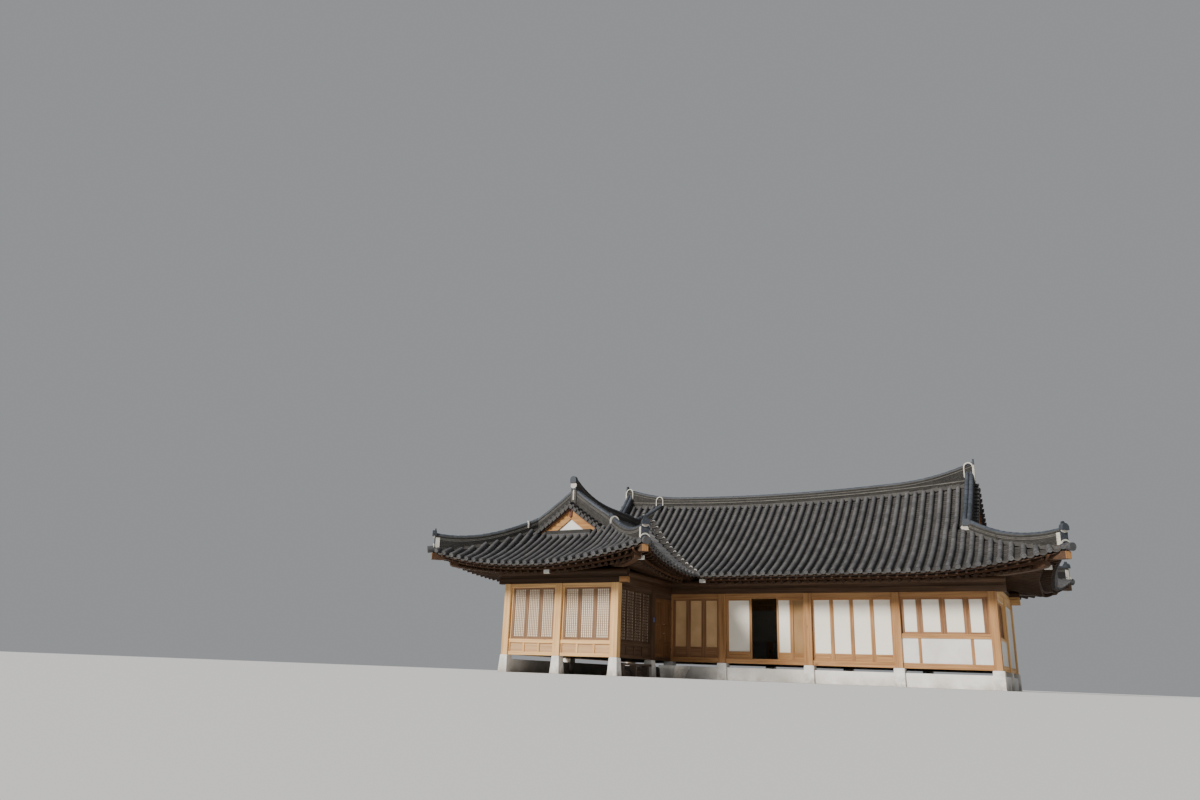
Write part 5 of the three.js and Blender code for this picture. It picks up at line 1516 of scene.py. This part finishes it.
def leaf(wood, lattice, sheet, along, a, b, line, heights, panes, stile=0.055, columns=1, rows=1, outer=-1,
         bar_width=0.012):
    """One leaf: stiles, rails, a lattice on its outer side and paper behind; outer is 1 or -1."""
    z0, z1 = heights
    low, high = panes
    near = a + stile
    far = b - stile
    bar(wood, along, a, near, line, LEAF_THICK, z0, z1, "z")
    bar(wood, along, far, b, line, LEAF_THICK, z0, z1, "z")
    bar(wood, along, near, far, line, LEAF_THICK, high, z1, along)
    if low - LEAF_RAIL - z0 > 0.12:
        bar(wood, along, near, far, line, LEAF_THICK, low - LEAF_RAIL, low, along)
        bar(wood, along, near, far, line, LEAF_THICK, z0, z0 + LEAF_RAIL, along)
        bar(wood, along, near, far, line, 0.018, z0 + LEAF_RAIL, low - LEAF_RAIL, along)
        bar(wood, along, near + 0.03, far - 0.03, line, 0.030, z0 + 0.085, low - 0.085, along)
    else:
        bar(wood, along, near, far, line, LEAF_THICK, z0, low, along)
    face = line + outer * (LEAF_THICK / 2 - BAR_DEPTH / 2 - 0.004)
    behind = face - outer * (BAR_DEPTH / 2 + 0.003)
    bar(sheet, along, near - 0.004, far + 0.004, behind, 0.005, low - 0.004, high + 0.004)
    for k in range(1, columns):
        x = near + (b - a - 2 * stile) * k / columns
        bar(lattice, along, x - bar_width / 2, x + bar_width / 2, face, BAR_DEPTH, low, high, "z")
    for k in range(1, rows):
        z = low + (high - low) * k / rows
        bar(lattice, along, near, far, face, BAR_DEPTH * 0.9, z - bar_width / 2, z + bar_width / 2, along)


def leaf_set(name, along, edges, line, heights, panes, looks, replaced=None, slot="sunlit_timber", **style):
    """Leaves side by side between the edges; looks are the finishes of frames, lattice and paper."""
    wood = Shape()
    lattice = Shape()
    sheet = Shape()
    for a, b in zip(edges, edges[1:]):
        leaf(wood, lattice, sheet, along, a + LEAF_GAP, b - LEAF_GAP, line, heights, panes, **style)
    piece(f"{name}_frames", wood.mesh(name), looks[0], slot, bevel=0.0015,
          replaces=[name] if replaced is None else replaced)
    if lattice.points:
        piece(f"{name}_bars", lattice.mesh(name), looks[1], slot)
    piece(f"{name}_paper", sheet.mesh(name), looks[2], "window_paper")


def post(shape, x, y):
    shape.block(x - HALF_POST, x + HALF_POST, y - HALF_POST, y + HALF_POST, SILL_BOTTOM, HEAD_TOP, "z")


def rails(shape, along, a, b, line, sill_top, head_bottom):
    """The sill and the head between two posts."""
    bar(shape, along, a, b, line, RAIL_THICK, SILL_BOTTOM, sill_top)
    bar(shape, along, a, b, line, RAIL_THICK, head_bottom, HEAD_TOP)


def wing_rails(shape, along, a, b, line):
    """The sill, the middle rail and the head of a bay of the wing."""
    bar(shape, along, a, b, line, RAIL_THICK, SILL_BOTTOM, SILL_TOP)
    bar(shape, along, a, b, line, 0.16, RAIL_BOTTOM, RAIL_TOP)
    bar(shape, along, a, b, line, RAIL_THICK, WING_HEAD, HEAD_TOP)


def eave_beam(shape, rounds, along, a, b, line):
    """The tie beam over the posts and the round purlin it carries."""
    bar(shape, along, a, b, line, 0.20, HEAD_TOP, TIE_TOP)
    bar(shape, along, a, b, line, 0.13, TIE_TOP, PLATE_TOP)
    ends = [Vector((t, line, PURLIN_Z) if along == "x" else (line, t, PURLIN_Z)) for t in (a, b)]
    rod(rounds, *ends, PURLIN_RADIUS, PURLIN_RADIUS, along, 18)


RAIL_THICK = 0.18
BREAST = 1.55
WING_JAMB = 0.07
STUD_THICK = 0.13
PANEL_THICK = 0.07
WING_LEAVES = (RAIL_TOP + 0.002, WING_HEAD - 0.002)
MAIN_LEAVES = (MAIN_SILL_TOP + 0.002, MAIN_HEAD_BOTTOM - 0.002)
BEAM_PAST = 0.43
POST_GAP = HALF_POST + 0.003


def build_wing_front():
    wood = Shape()
    for x in (0.0, WING_MID_X, WING_X):
        post(wood, x, 0.0)
    bays = ((HALF_POST, WING_MID_X - HALF_POST), (WING_MID_X + HALF_POST, WING_X - HALF_POST))
    for a, b in bays:
        wing_rails(wood, "x", a, b, 0)
        edges = spread(a, b, 3)
        for low, wide in ((a, 0.06), (edges[1] - 0.04, 0.08), (edges[2] - 0.04, 0.08), (b - 0.06, 0.06)):
            bar(wood, "x", low, low + wide, 0, STUD_THICK, SILL_TOP, RAIL_BOTTOM, "z")
        for low in (a, b - WING_JAMB):
            bar(wood, "x", low, low + WING_JAMB, 0.01, 0.11, RAIL_TOP, WING_HEAD, "z")
    piece("wing_front_posts", wood.mesh("wood"), honey, "sunlit_timber", bevel=0.006)
    boards = Shape()
    for a, b in bays:
        edges = spread(a, b, 3)
        for low, high in zip(edges, edges[1:]):
            bar(boards, "x", low, high, 0, PANEL_THICK, SILL_TOP, RAIL_BOTTOM, "x")
    piece("wing_front_low_boards", boards.mesh("boards"), golden, "sunlit_timber")
    beam = Shape()
    rounds = Shape()
    eave_beam(beam, rounds, "x", -BEAM_PAST, WING_X + BEAM_PAST, 0)
    piece("wing_front_beam", beam.mesh("beam"), beam_shade_wood, "sunlit_timber", replaces=["wing_front_frame"],
          bevel=0.008)
    # The beam's projecting end keeps lighter wood; the rest of the beam carries painted shade.
    beam_end = Shape()
    bar(beam_end, "x", WING_X + 0.135, WING_X + BEAM_PAST + 0.006, 0, 0.212, HEAD_TOP + 0.006,
        TIE_TOP + 0.006)
    piece("wing_front_beam_end", beam_end.mesh("beam_end"), middle_brown, "sunlit_timber", bevel=0.008)
    piece("wing_front_purlin", rounds.mesh("purlin"), beam_shade_wood, "sunlit_timber", smooth=40)
    for n, (a, b) in enumerate(((0.0, WING_MID_X), (WING_MID_X, WING_X))):
        inset = POST_GAP + WING_JAMB
        leaf_set(f"wing_front_leaves_{n + 1}", "x", spread(a + inset, b - inset, 3), 0, WING_LEAVES,
                 (1.22, 2.83), (leaf_wood, lattice_wood, warm_paper), columns=6, rows=21, stile=0.075,
                 bar_width=0.011)


HINGE_X = 4.49
HINGE_HEIGHTS = (1.0, 2.48)
HINGE_OFF = 0.010
KNUCKLE_RADIUS = 0.0078
KNUCKLE_HIGH = 0.045
DOOR_LINE = WING_X + 0.070
DOOR_STILE = 0.09
DOOR_GAP = 0.020
NEAR_POST = SIDE_POST_Y + HALF_POST
FAR_POST = MAIN_Y - HALF_POST


def knuckle(shape, y, low, high):
    rod(shape, Vector((HINGE_X, y, low)), Vector((HINGE_X, y, high)), KNUCKLE_RADIUS, KNUCKLE_RADIUS,
        "z", 10)


def build_courtyard():
    wood = Shape()
    post(wood, WING_X, SIDE_POST_Y)
    a, b = HALF_POST, SIDE_POST_Y - HALF_POST
    wing_rails(wood, "y", a, b, WING_X)
    edges = spread(a, b, 4)
    for edge in edges:
        low = max(a, edge - 0.04)
        bar(wood, "y", low, min(b, low + 0.08), WING_X, STUD_THICK, SILL_TOP, RAIL_BOTTOM, "z")
    for low, high in zip(edges, edges[1:]):
        bar(wood, "y", low, high, WING_X, PANEL_THICK, SILL_TOP, RAIL_BOTTOM, "y")
        bar(wood, "y", low + 0.09, high - 0.09, WING_X, 0.095, SILL_TOP + 0.05, RAIL_BOTTOM - 0.05, "y")
    for face, way in ((NEAR_POST, 1), (FAR_POST, -1)):
        for z in HINGE_HEIGHTS:
            y = face + way * HINGE_OFF
            knuckle(wood, y, z - KNUCKLE_HIGH, z - 0.0004)
            sunk = face - way * 0.001
            wood.block(HINGE_X - 0.0075, HINGE_X + 0.0075, min(sunk, y), max(sunk, y), z - KNUCKLE_HIGH,
                       z - 0.001)
    piece("courtyard_posts", wood.mesh("wood"), shaded, "dark_timber", replaces=["courtyard_frame"],
          bevel=0.004)
    leaf_set("courtyard_leaves", "y", spread(POST_GAP, SIDE_POST_Y - POST_GAP, 4), WING_X, WING_LEAVES,
             (1.19, 2.83), (shaded, shaded, warm_paper), slot="dark_timber", columns=5, rows=17, outer=1,
             stile=0.075, bar_width=0.030)
    beam = Shape()
    rounds = Shape()
    eave_beam(beam, rounds, "y", 0.125, MAIN_Y - 0.125, WING_X)
    piece("courtyard_tie_beam", beam.mesh("beam"), shaded, "dark_timber", replaces=["courtyard_beam"],
          bevel=0.006)
    piece("courtyard_purlin", rounds.mesh("purlin"), shaded, "dark_timber", smooth=40)
    entrance = Shape()
    rails(entrance, "y", NEAR_POST, FAR_POST, WING_X, SILL_TOP, HEAD_BOTTOM)
    piece("entrance_rails", entrance.mesh("rails"), shaded, "dark_timber",
          replaces=["entrance_sill", "entrance_head"], bevel=0.004)
    build_doors()


def door_leaf(a, b, post_face, way):
    """A panelled leaf with its two hinge straps; way points from its hinges to the entrance's middle."""
    wood = Shape()
    z0, z1 = SILL_TOP + 0.005, HEAD_BOTTOM - 0.005
    near, far = a + DOOR_STILE, b - DOOR_STILE
    bar(wood, "y", a, near, DOOR_LINE, 0.05, z0, z1, "z")
    bar(wood, "y", far, b, DOOR_LINE, 0.05, z0, z1, "z")
    for low, high in ((z0, z0 + 0.11), (1.18, 1.29), (1.83, 1.94), (z1 - 0.11, z1)):
        bar(wood, "y", near, far, DOOR_LINE, 0.046, low, high, "y")
    for low, high in ((z0 + 0.11, 1.18), (1.29, 1.83), (1.94, z1 - 0.11)):
        bar(wood, "y", near, far, DOOR_LINE, 0.024, low, high, "z")
        bar(wood, "y", near + 0.035, far - 0.035, DOOR_LINE, 0.036, low + 0.035, high - 0.035, "z")
    axis_y = post_face + way * HINGE_OFF
    strap_in, strap_out = DOOR_LINE + 0.024, DOOR_LINE + 0.031
    for z in HINGE_HEIGHTS:
        top = z + KNUCKLE_HIGH
        knuckle(wood, axis_y, z + 0.0004, top)
        for end, reach in ((strap_out, 0.08), (HINGE_X, 0.018)):
            y = axis_y + way * reach
            wood.block(strap_in, end, min(axis_y, y), max(axis_y, y), z + 0.001, top)
    return wood


def build_doors():
    half_gap = 0.006
    middle_y = (NEAR_POST + DOOR_GAP + FAR_POST - DOOR_GAP) / 2
    for side, made in (("left", door_leaf(NEAR_POST + DOOR_GAP, middle_y - half_gap, NEAR_POST, 1)),
                       ("right", door_leaf(middle_y + half_gap, FAR_POST - DOOR_GAP, FAR_POST, -1))):
        piece(f"door_{side}_wood", made.mesh("door"), door_wood, "dark_timber",
              body=f"entrance_leaf_{side}", replaces=[f"entrance_door_{side}"], bevel=0.002)
    pull = Shape()
    y = middle_y + half_gap + DOOR_STILE / 2
    face = DOOR_LINE + 0.025
    for z in (1.56, 1.88):
        rod(pull, Vector((face, y, z)), Vector((face + 0.035, y, z)), 0.008, 0.008, "x", 10)
    rod(pull, Vector((face + 0.040, y, 1.51)), Vector((face + 0.040, y, 1.93)), 0.0115, 0.0115, "z", 14)
    piece("door_pull_bar", pull.mesh("pull"), steel, "steel", body="entrance_leaf_right",
          replaces=["entrance_door_pull"], smooth=40)


def bay_leaves(name, edges, wood, sheet, low, stile, heights=MAIN_LEAVES, replaced=None):
    """Leaves of the main front, each with one pane of paper."""
    leaf_set(name, "x", edges, MAIN_Y, heights, (low, 2.79), (wood, wood, sheet), replaced, stile=stile)


def main_rails(shape, a, b):
    rails(shape, "x", a + HALF_POST, b - HALF_POST, MAIN_Y, MAIN_SILL_TOP, MAIN_HEAD_BOTTOM)


def build_main_front():
    wood = Shape()
    post(wood, WING_X, MAIN_Y)
    post(wood, POST_2_X, MAIN_Y)
    main_rails(wood, WING_X, POST_2_X)
    piece("bay_a_posts", wood.mesh("wood"), middle_brown, "sunlit_timber", replaces=["bay_a_frame"],
          bevel=0.005)
    bay_leaves("bay_a_leaves", spread(WING_X + POST_GAP, POST_2_X - POST_GAP, 3), brown, amber_paper,
               1.13, 0.09)
    wood = Shape()
    main_rails(wood, POST_2_X, POST_3_X)
    piece("bay_b_rails", wood.mesh("wood"), middle_brown, "sunlit_timber",
          replaces=["bay_b_sill", "bay_b_head"], bevel=0.005)
    bay_leaves("bay_b_left_leaf", [POST_2_X + POST_GAP, 7.60], middle_brown, paper, 1.00, 0.09)
    bay_leaves("bay_b_white_leaf", [8.53, 9.06], middle_brown, paper, 1.00, 0.06,
               replaced=["bay_b_right_leaves"])
    bay_leaves("bay_b_tan_leaf", [9.06, POST_3_X - POST_GAP], middle_brown, tan_paper, 1.00, 0.06,
               replaced=[])
    wood = Shape()
    for x in (POST_3_X, POST_4_X, END_X):
        post(wood, x, MAIN_Y)
    main_rails(wood, POST_3_X, POST_4_X)
    main_rails(wood, POST_4_X, END_X)
    bar(wood, "x", POST_4_X + HALF_POST, END_X - HALF_POST, MAIN_Y, RAIL_THICK, BREAST - 0.01,
        BREAST + 0.14)
    for x in (13.35, 14.95):
        bar(wood, "x", x - 0.05, x + 0.05, MAIN_Y, 0.15, MAIN_SILL_TOP, BREAST - 0.01, "z")
    piece("bays_cd_posts", wood.mesh("wood"), middle_brown, "sunlit_timber", replaces=["bays_cd_frame"],
          bevel=0.005)
    infill = Shape()
    bar(infill, "x", POST_4_X + 0.1, END_X - 0.1, MAIN_Y, 0.13, MAIN_SILL_TOP - 0.01, BREAST)
    piece("bay_d_plaster", infill.mesh("infill"), plaster, "lime_plaster")
    bay_leaves("bay_c_leaves", spread(POST_3_X + POST_GAP, POST_4_X - POST_GAP, 4), middle_brown, paper,
               1.00, 0.06)
    window = (BREAST + 0.142, MAIN_LEAVES[1])
    bay_leaves("bay_d_leaves", [POST_4_X + POST_GAP, 13.38, 14.11, 14.84, 15.43], brown, paper, 1.75,
               0.09, window, ["bay_d_window"])
    jamb = Shape()
    bar(jamb, "x", 15.43, END_X - HALF_POST, MAIN_Y, 0.06, *window, "z")
    piece("bay_d_jamb", jamb.mesh("jamb"), brown, "sunlit_timber")
    beam = Shape()
    rounds = Shape()
    eave_beam(beam, rounds, "x", WING_X - 0.125, END_X + BEAM_PAST, MAIN_Y)
    piece("main_tie_beam", beam.mesh("beam"), shaded, "dark_timber", replaces=["main_front_beam"],
          bevel=0.006)
    piece("main_purlin", rounds.mesh("purlin"), shaded, "dark_timber", smooth=40)


WINDOW_WIDE = 1.8
WINDOW_HIGH = 2.78
JAMB_HALF = 0.045


def plain_wall(name, along, a, b, line, posts, windows, beam_end, outer):
    """Posts, rails, white plaster and lattice windows of a side that the front doesn't show."""
    wood = Shape()
    white = Shape()
    for s in posts:
        post(wood, *((s, line) if along == "x" else (line, s)))
    ends = sorted({a, b, *posts})
    for p, q in zip(ends, ends[1:]):
        lo = p + (HALF_POST if p in posts else 0)
        hi = q - (HALF_POST if q in posts else 0)
        rails(wood, along, lo, hi, line, MAIN_SILL_TOP, MAIN_HEAD_BOTTOM)
        inside = [w for w in windows if lo - 0.01 < w and w + WINDOW_WIDE < hi + 0.01]
        edges = [lo] + [v for w in inside for v in (w, w + WINDOW_WIDE)] + [hi]
        bar(white, along, lo, hi, line, 0.14, MAIN_SILL_TOP - 0.01,
            BREAST if inside else MAIN_HEAD_BOTTOM + 0.01)
        if not inside:
            continue
        bar(wood, along, lo, hi, line, 0.16, BREAST, BREAST + 0.09)
        bar(white, along, lo, hi, line, 0.14, WINDOW_HIGH - 0.005, MAIN_HEAD_BOTTOM + 0.01)
        for low, high in zip(edges[0::2], edges[1::2]):
            if high - low > 0.08:
                bar(white, along, low, high, line, 0.14, BREAST + 0.08, WINDOW_HIGH)
        for w in inside:
            for s in (w, w + WINDOW_WIDE):
                bar(wood, along, s - JAMB_HALF, s + JAMB_HALF, line, 0.16, BREAST + 0.09, WINDOW_HIGH, "z")
            bar(wood, along, w, w + WINDOW_WIDE, line, 0.165, WINDOW_HIGH - 0.02, WINDOW_HIGH + 0.04)
    rounds = Shape()
    eave_beam(wood, rounds, along, a - beam_end, b + beam_end, line)
    piece(f"{name}_timbers", wood.mesh("wood"), honey, "sunlit_timber", replaces=[f"{name}_wall"],
          bevel=0.005)
    piece(f"{name}_purlin", rounds.mesh("rounds"), beam_shade_wood, "sunlit_timber", smooth=40)
    piece(f"{name}_plaster", white.mesh("white"), plaster, "lime_plaster")
    bars = Shape()
    sheets = Shape()
    for w in windows:
        edges = spread(w + JAMB_HALF, w + WINDOW_WIDE - JAMB_HALF, 3)
        for low, high in zip(edges, edges[1:]):
            leaf(bars, bars, sheets, along, low + LEAF_GAP, high - LEAF_GAP, line, (1.642, 2.758),
                 (1.70, 2.70), columns=4, rows=9, outer=outer)
    piece(f"{name}_window_bars", bars.mesh("bars"), brown, "dark_timber", bevel=0.0015)
    piece(f"{name}_window_paper", sheets.mesh("sheets"), paper, "window_paper")
    recoat(f"{name}_window_screen", paper)


def recoat(node, look):
    """Gives a solid of the frame, which no piece replaces, the same finish as the pieces around it."""
    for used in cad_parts[node].material_slots:
        used.material = look


def build_plain_sides():
    plain_wall("right", "y", MAIN_Y + HALF_POST, BACK_Y - HALF_POST, END_X, [RIDGE_Y], [5.09], 0.0, 1)
    plain_wall("back", "x", 0.0, END_X, BACK_Y, [0.0, WING_X, POST_2_X, POST_3_X, POST_4_X, END_X],
               [1.29, 7.18, 10.265, 13.255], BEAM_PAST, 1)
    plain_wall("left", "y", HALF_POST, BACK_Y - HALF_POST, 0.0, [MAIN_Y], [1.20, 5.40], 0.0, -1)


STONE_TOP = 0.5877
BASE_TOP = 0.44
BASE_HALF = 0.11


def tapered(shape, x, y, foot, top):
    """A squared stone that narrows upwards, with worn edges at its foot and its top."""
    rings = []
    for half, z in ((foot, 0.0), (foot - 0.012, 0.04), (top + 0.008, STONE_TOP - 0.03), (top, STONE_TOP)):
        rings.append([(x - half, y - half, z), (x + half, y - half, z), (x + half, y + half, z),
                      (x - half, y + half, z)])
    shape.loft(rings, "z")


def build_base():
    stones = Shape()
    for x, y in ((0, 0), (WING_MID_X, 0), (WING_X, 0), (WING_X, SIDE_POST_Y)):
        tapered(stones, x, y, 0.195, 0.140)
    piece("tapered_plinths", stones.mesh("plinths"), stone, "granite", bevel=0.008, replaces=[
        "plinth_front_left", "plinth_front_middle", "plinth_front_right", "plinth_courtyard"])
    seats = Shape()
    front_posts = (WING_X, POST_2_X, POST_3_X, POST_4_X, END_X)
    back_posts = (END_X, POST_4_X, POST_3_X, POST_2_X, WING_X, 0)
    for x, y in (*((x, MAIN_Y) for x in front_posts), (END_X, RIDGE_Y), *((x, BACK_Y) for x in back_posts),
                 (0, MAIN_Y)):
        tapered(seats, x, y, 0.19, 0.165)
    piece("post_seats", seats.mesh("seats"), stone, "granite", bevel=0.006)
    base = Shape()
    for along, a, b, line in (("x", WING_X - BASE_HALF, END_X + BASE_HALF, MAIN_Y),
                              ("y", MAIN_Y + BASE_HALF, BACK_Y - BASE_HALF, END_X),
                              ("x", -BASE_HALF, END_X + BASE_HALF, BACK_Y),
                              ("y", 0.24, BACK_Y - BASE_HALF, 0)):
        bar(base, along, a, b, line, 2 * BASE_HALF, 0, BASE_TOP)
    piece("plaster_base", base.mesh("base"), plaster, "lime_plaster", bevel=0.006,
          replaces=["foundation_front", "foundation_back"])
    recoat("floor", plank)
    recoat("entrance_step", stone)
    bench = Shape()
    near = WING_X - 0.155
    seat = 0.36
    for low in (near + 0.002, near + 0.182):
        bench.block(low, low + 0.176, 0.27, 2.41, seat, seat + 0.07, "y")
    for y in (0.33, 1.28, 2.23):
        bench.block(near + 0.06, near + 0.30, y, y + 0.12, 0, seat, "z")
    bench.block(near + 0.06, near + 0.11, 0.33, 2.35, 0, 0.19, "y")
    piece("bench_planks", bench.mesh("bench"), plank, "sunlit_timber", replaces=["courtyard_bench"],
          bevel=0.004)


def build_small_things():
    """Four lamps, each a housing with a stem up to the boards, and the blank plate on the post."""
    lamps = Shape()
    for x, y, z, rise in ((2.34, -1.25, 3.30, 0.20), (5.956, -1.386, 3.65, 0.25), (6.28, 2.95, 3.36, 0.20),
                          (17.40, 3.10, 3.60, 0.25)):
        lamps.block(x - 0.11, x + 0.11, y - 0.05, y + 0.05, z - 0.065, z + 0.065)
        lamps.block(x - 0.015, x + 0.015, y - 0.015, y + 0.015, z + 0.055, z + rise)
    piece("eave_lamps", lamps.mesh("lamps"), lamp_pale, "dark_timber", bevel=0.004)
    sign = Shape()
    sign.block(WING_X + 0.131, WING_X + 0.139, SIDE_POST_Y - 0.055, SIDE_POST_Y + 0.055, 1.90, 2.06)
    piece("number_plate", sign.mesh("plate"), plate_blue, "dark_timber")


build_tiles()
build_decks()
build_eaves()
build_gables()
build_ridges()
build_valley()
build_wing_front()
build_courtyard()
build_main_front()
build_plain_sides()
build_base()
build_small_things()

# Ground, camera and light
ground_mesh = bpy.data.meshes.new("ground")
reach = 120
ground_mesh.from_pydata([(x, y, -0.002) for x, y in (
    (-reach, -reach), (reach, -reach), (reach, reach), (-reach, reach))], [], [(0, 1, 2, 3)])
ground = bpy.data.objects.new("ground", ground_mesh)
scene.collection.objects.link(ground)
ground_mesh.materials.append(plain_finish("pale_floor", (0.72, 0.72, 0.71), 0.9))

FOCAL_PIXELS = 876.42
PHOTO_WIDTH = 1200
SENSOR = 36
CAMERA_PLACE = Vector((18.586, -26.716, 0.045))
HEADING = math.radians(29.547)
PITCH = math.radians(17.35)
ROLL = math.radians(2.19)
camera_data = bpy.data.cameras.new("camera")
camera_data.lens = SENSOR * FOCAL_PIXELS / PHOTO_WIDTH
camera_data.sensor_width = SENSOR
camera_data.clip_end = 400
camera = bpy.data.objects.new("camera", camera_data)
scene.collection.objects.link(camera)
ahead = math.cos(PITCH)
forward = Vector((-math.sin(HEADING) * ahead, math.cos(HEADING) * ahead, math.sin(PITCH)))
level = Vector((math.cos(HEADING), math.sin(HEADING), 0))
down = forward.cross(level)
right_way = math.cos(ROLL) * level - math.sin(ROLL) * down
down_way = math.sin(ROLL) * level + math.cos(ROLL) * down
turn = Matrix((right_way, -down_way, -forward)).transposed()
camera.matrix_world = Matrix.Translation(CAMERA_PLACE + HOME) @ turn.to_4x4()
scene.camera = camera


def add_sun(name, energy, degrees, towards, color):
    data = bpy.data.lights.new(name, "SUN")
    data.energy = energy
    data.angle = math.radians(degrees)
    data.color = color
    sun = bpy.data.objects.new(name, data)
    scene.collection.objects.link(sun)
    sun.rotation_euler = Vector(towards).to_track_quat("Z", "Y").to_euler()


add_sun("soft_key", 5.3, 14, (-0.45, -1.0, 0.60), (1.0, 0.96, 0.90))
add_sun("soft_fill", 0.08, 60, (0.9, -0.9, 0.35), (1.0, 1.0, 1.0))
world = bpy.data.worlds.new("studio")
world.use_nodes = True
sky = world.node_tree.nodes["Background"].inputs
sky["Color"].default_value = (0.86, 0.89, 0.93, 1)
sky["Strength"].default_value = 0.35
scene.world = world
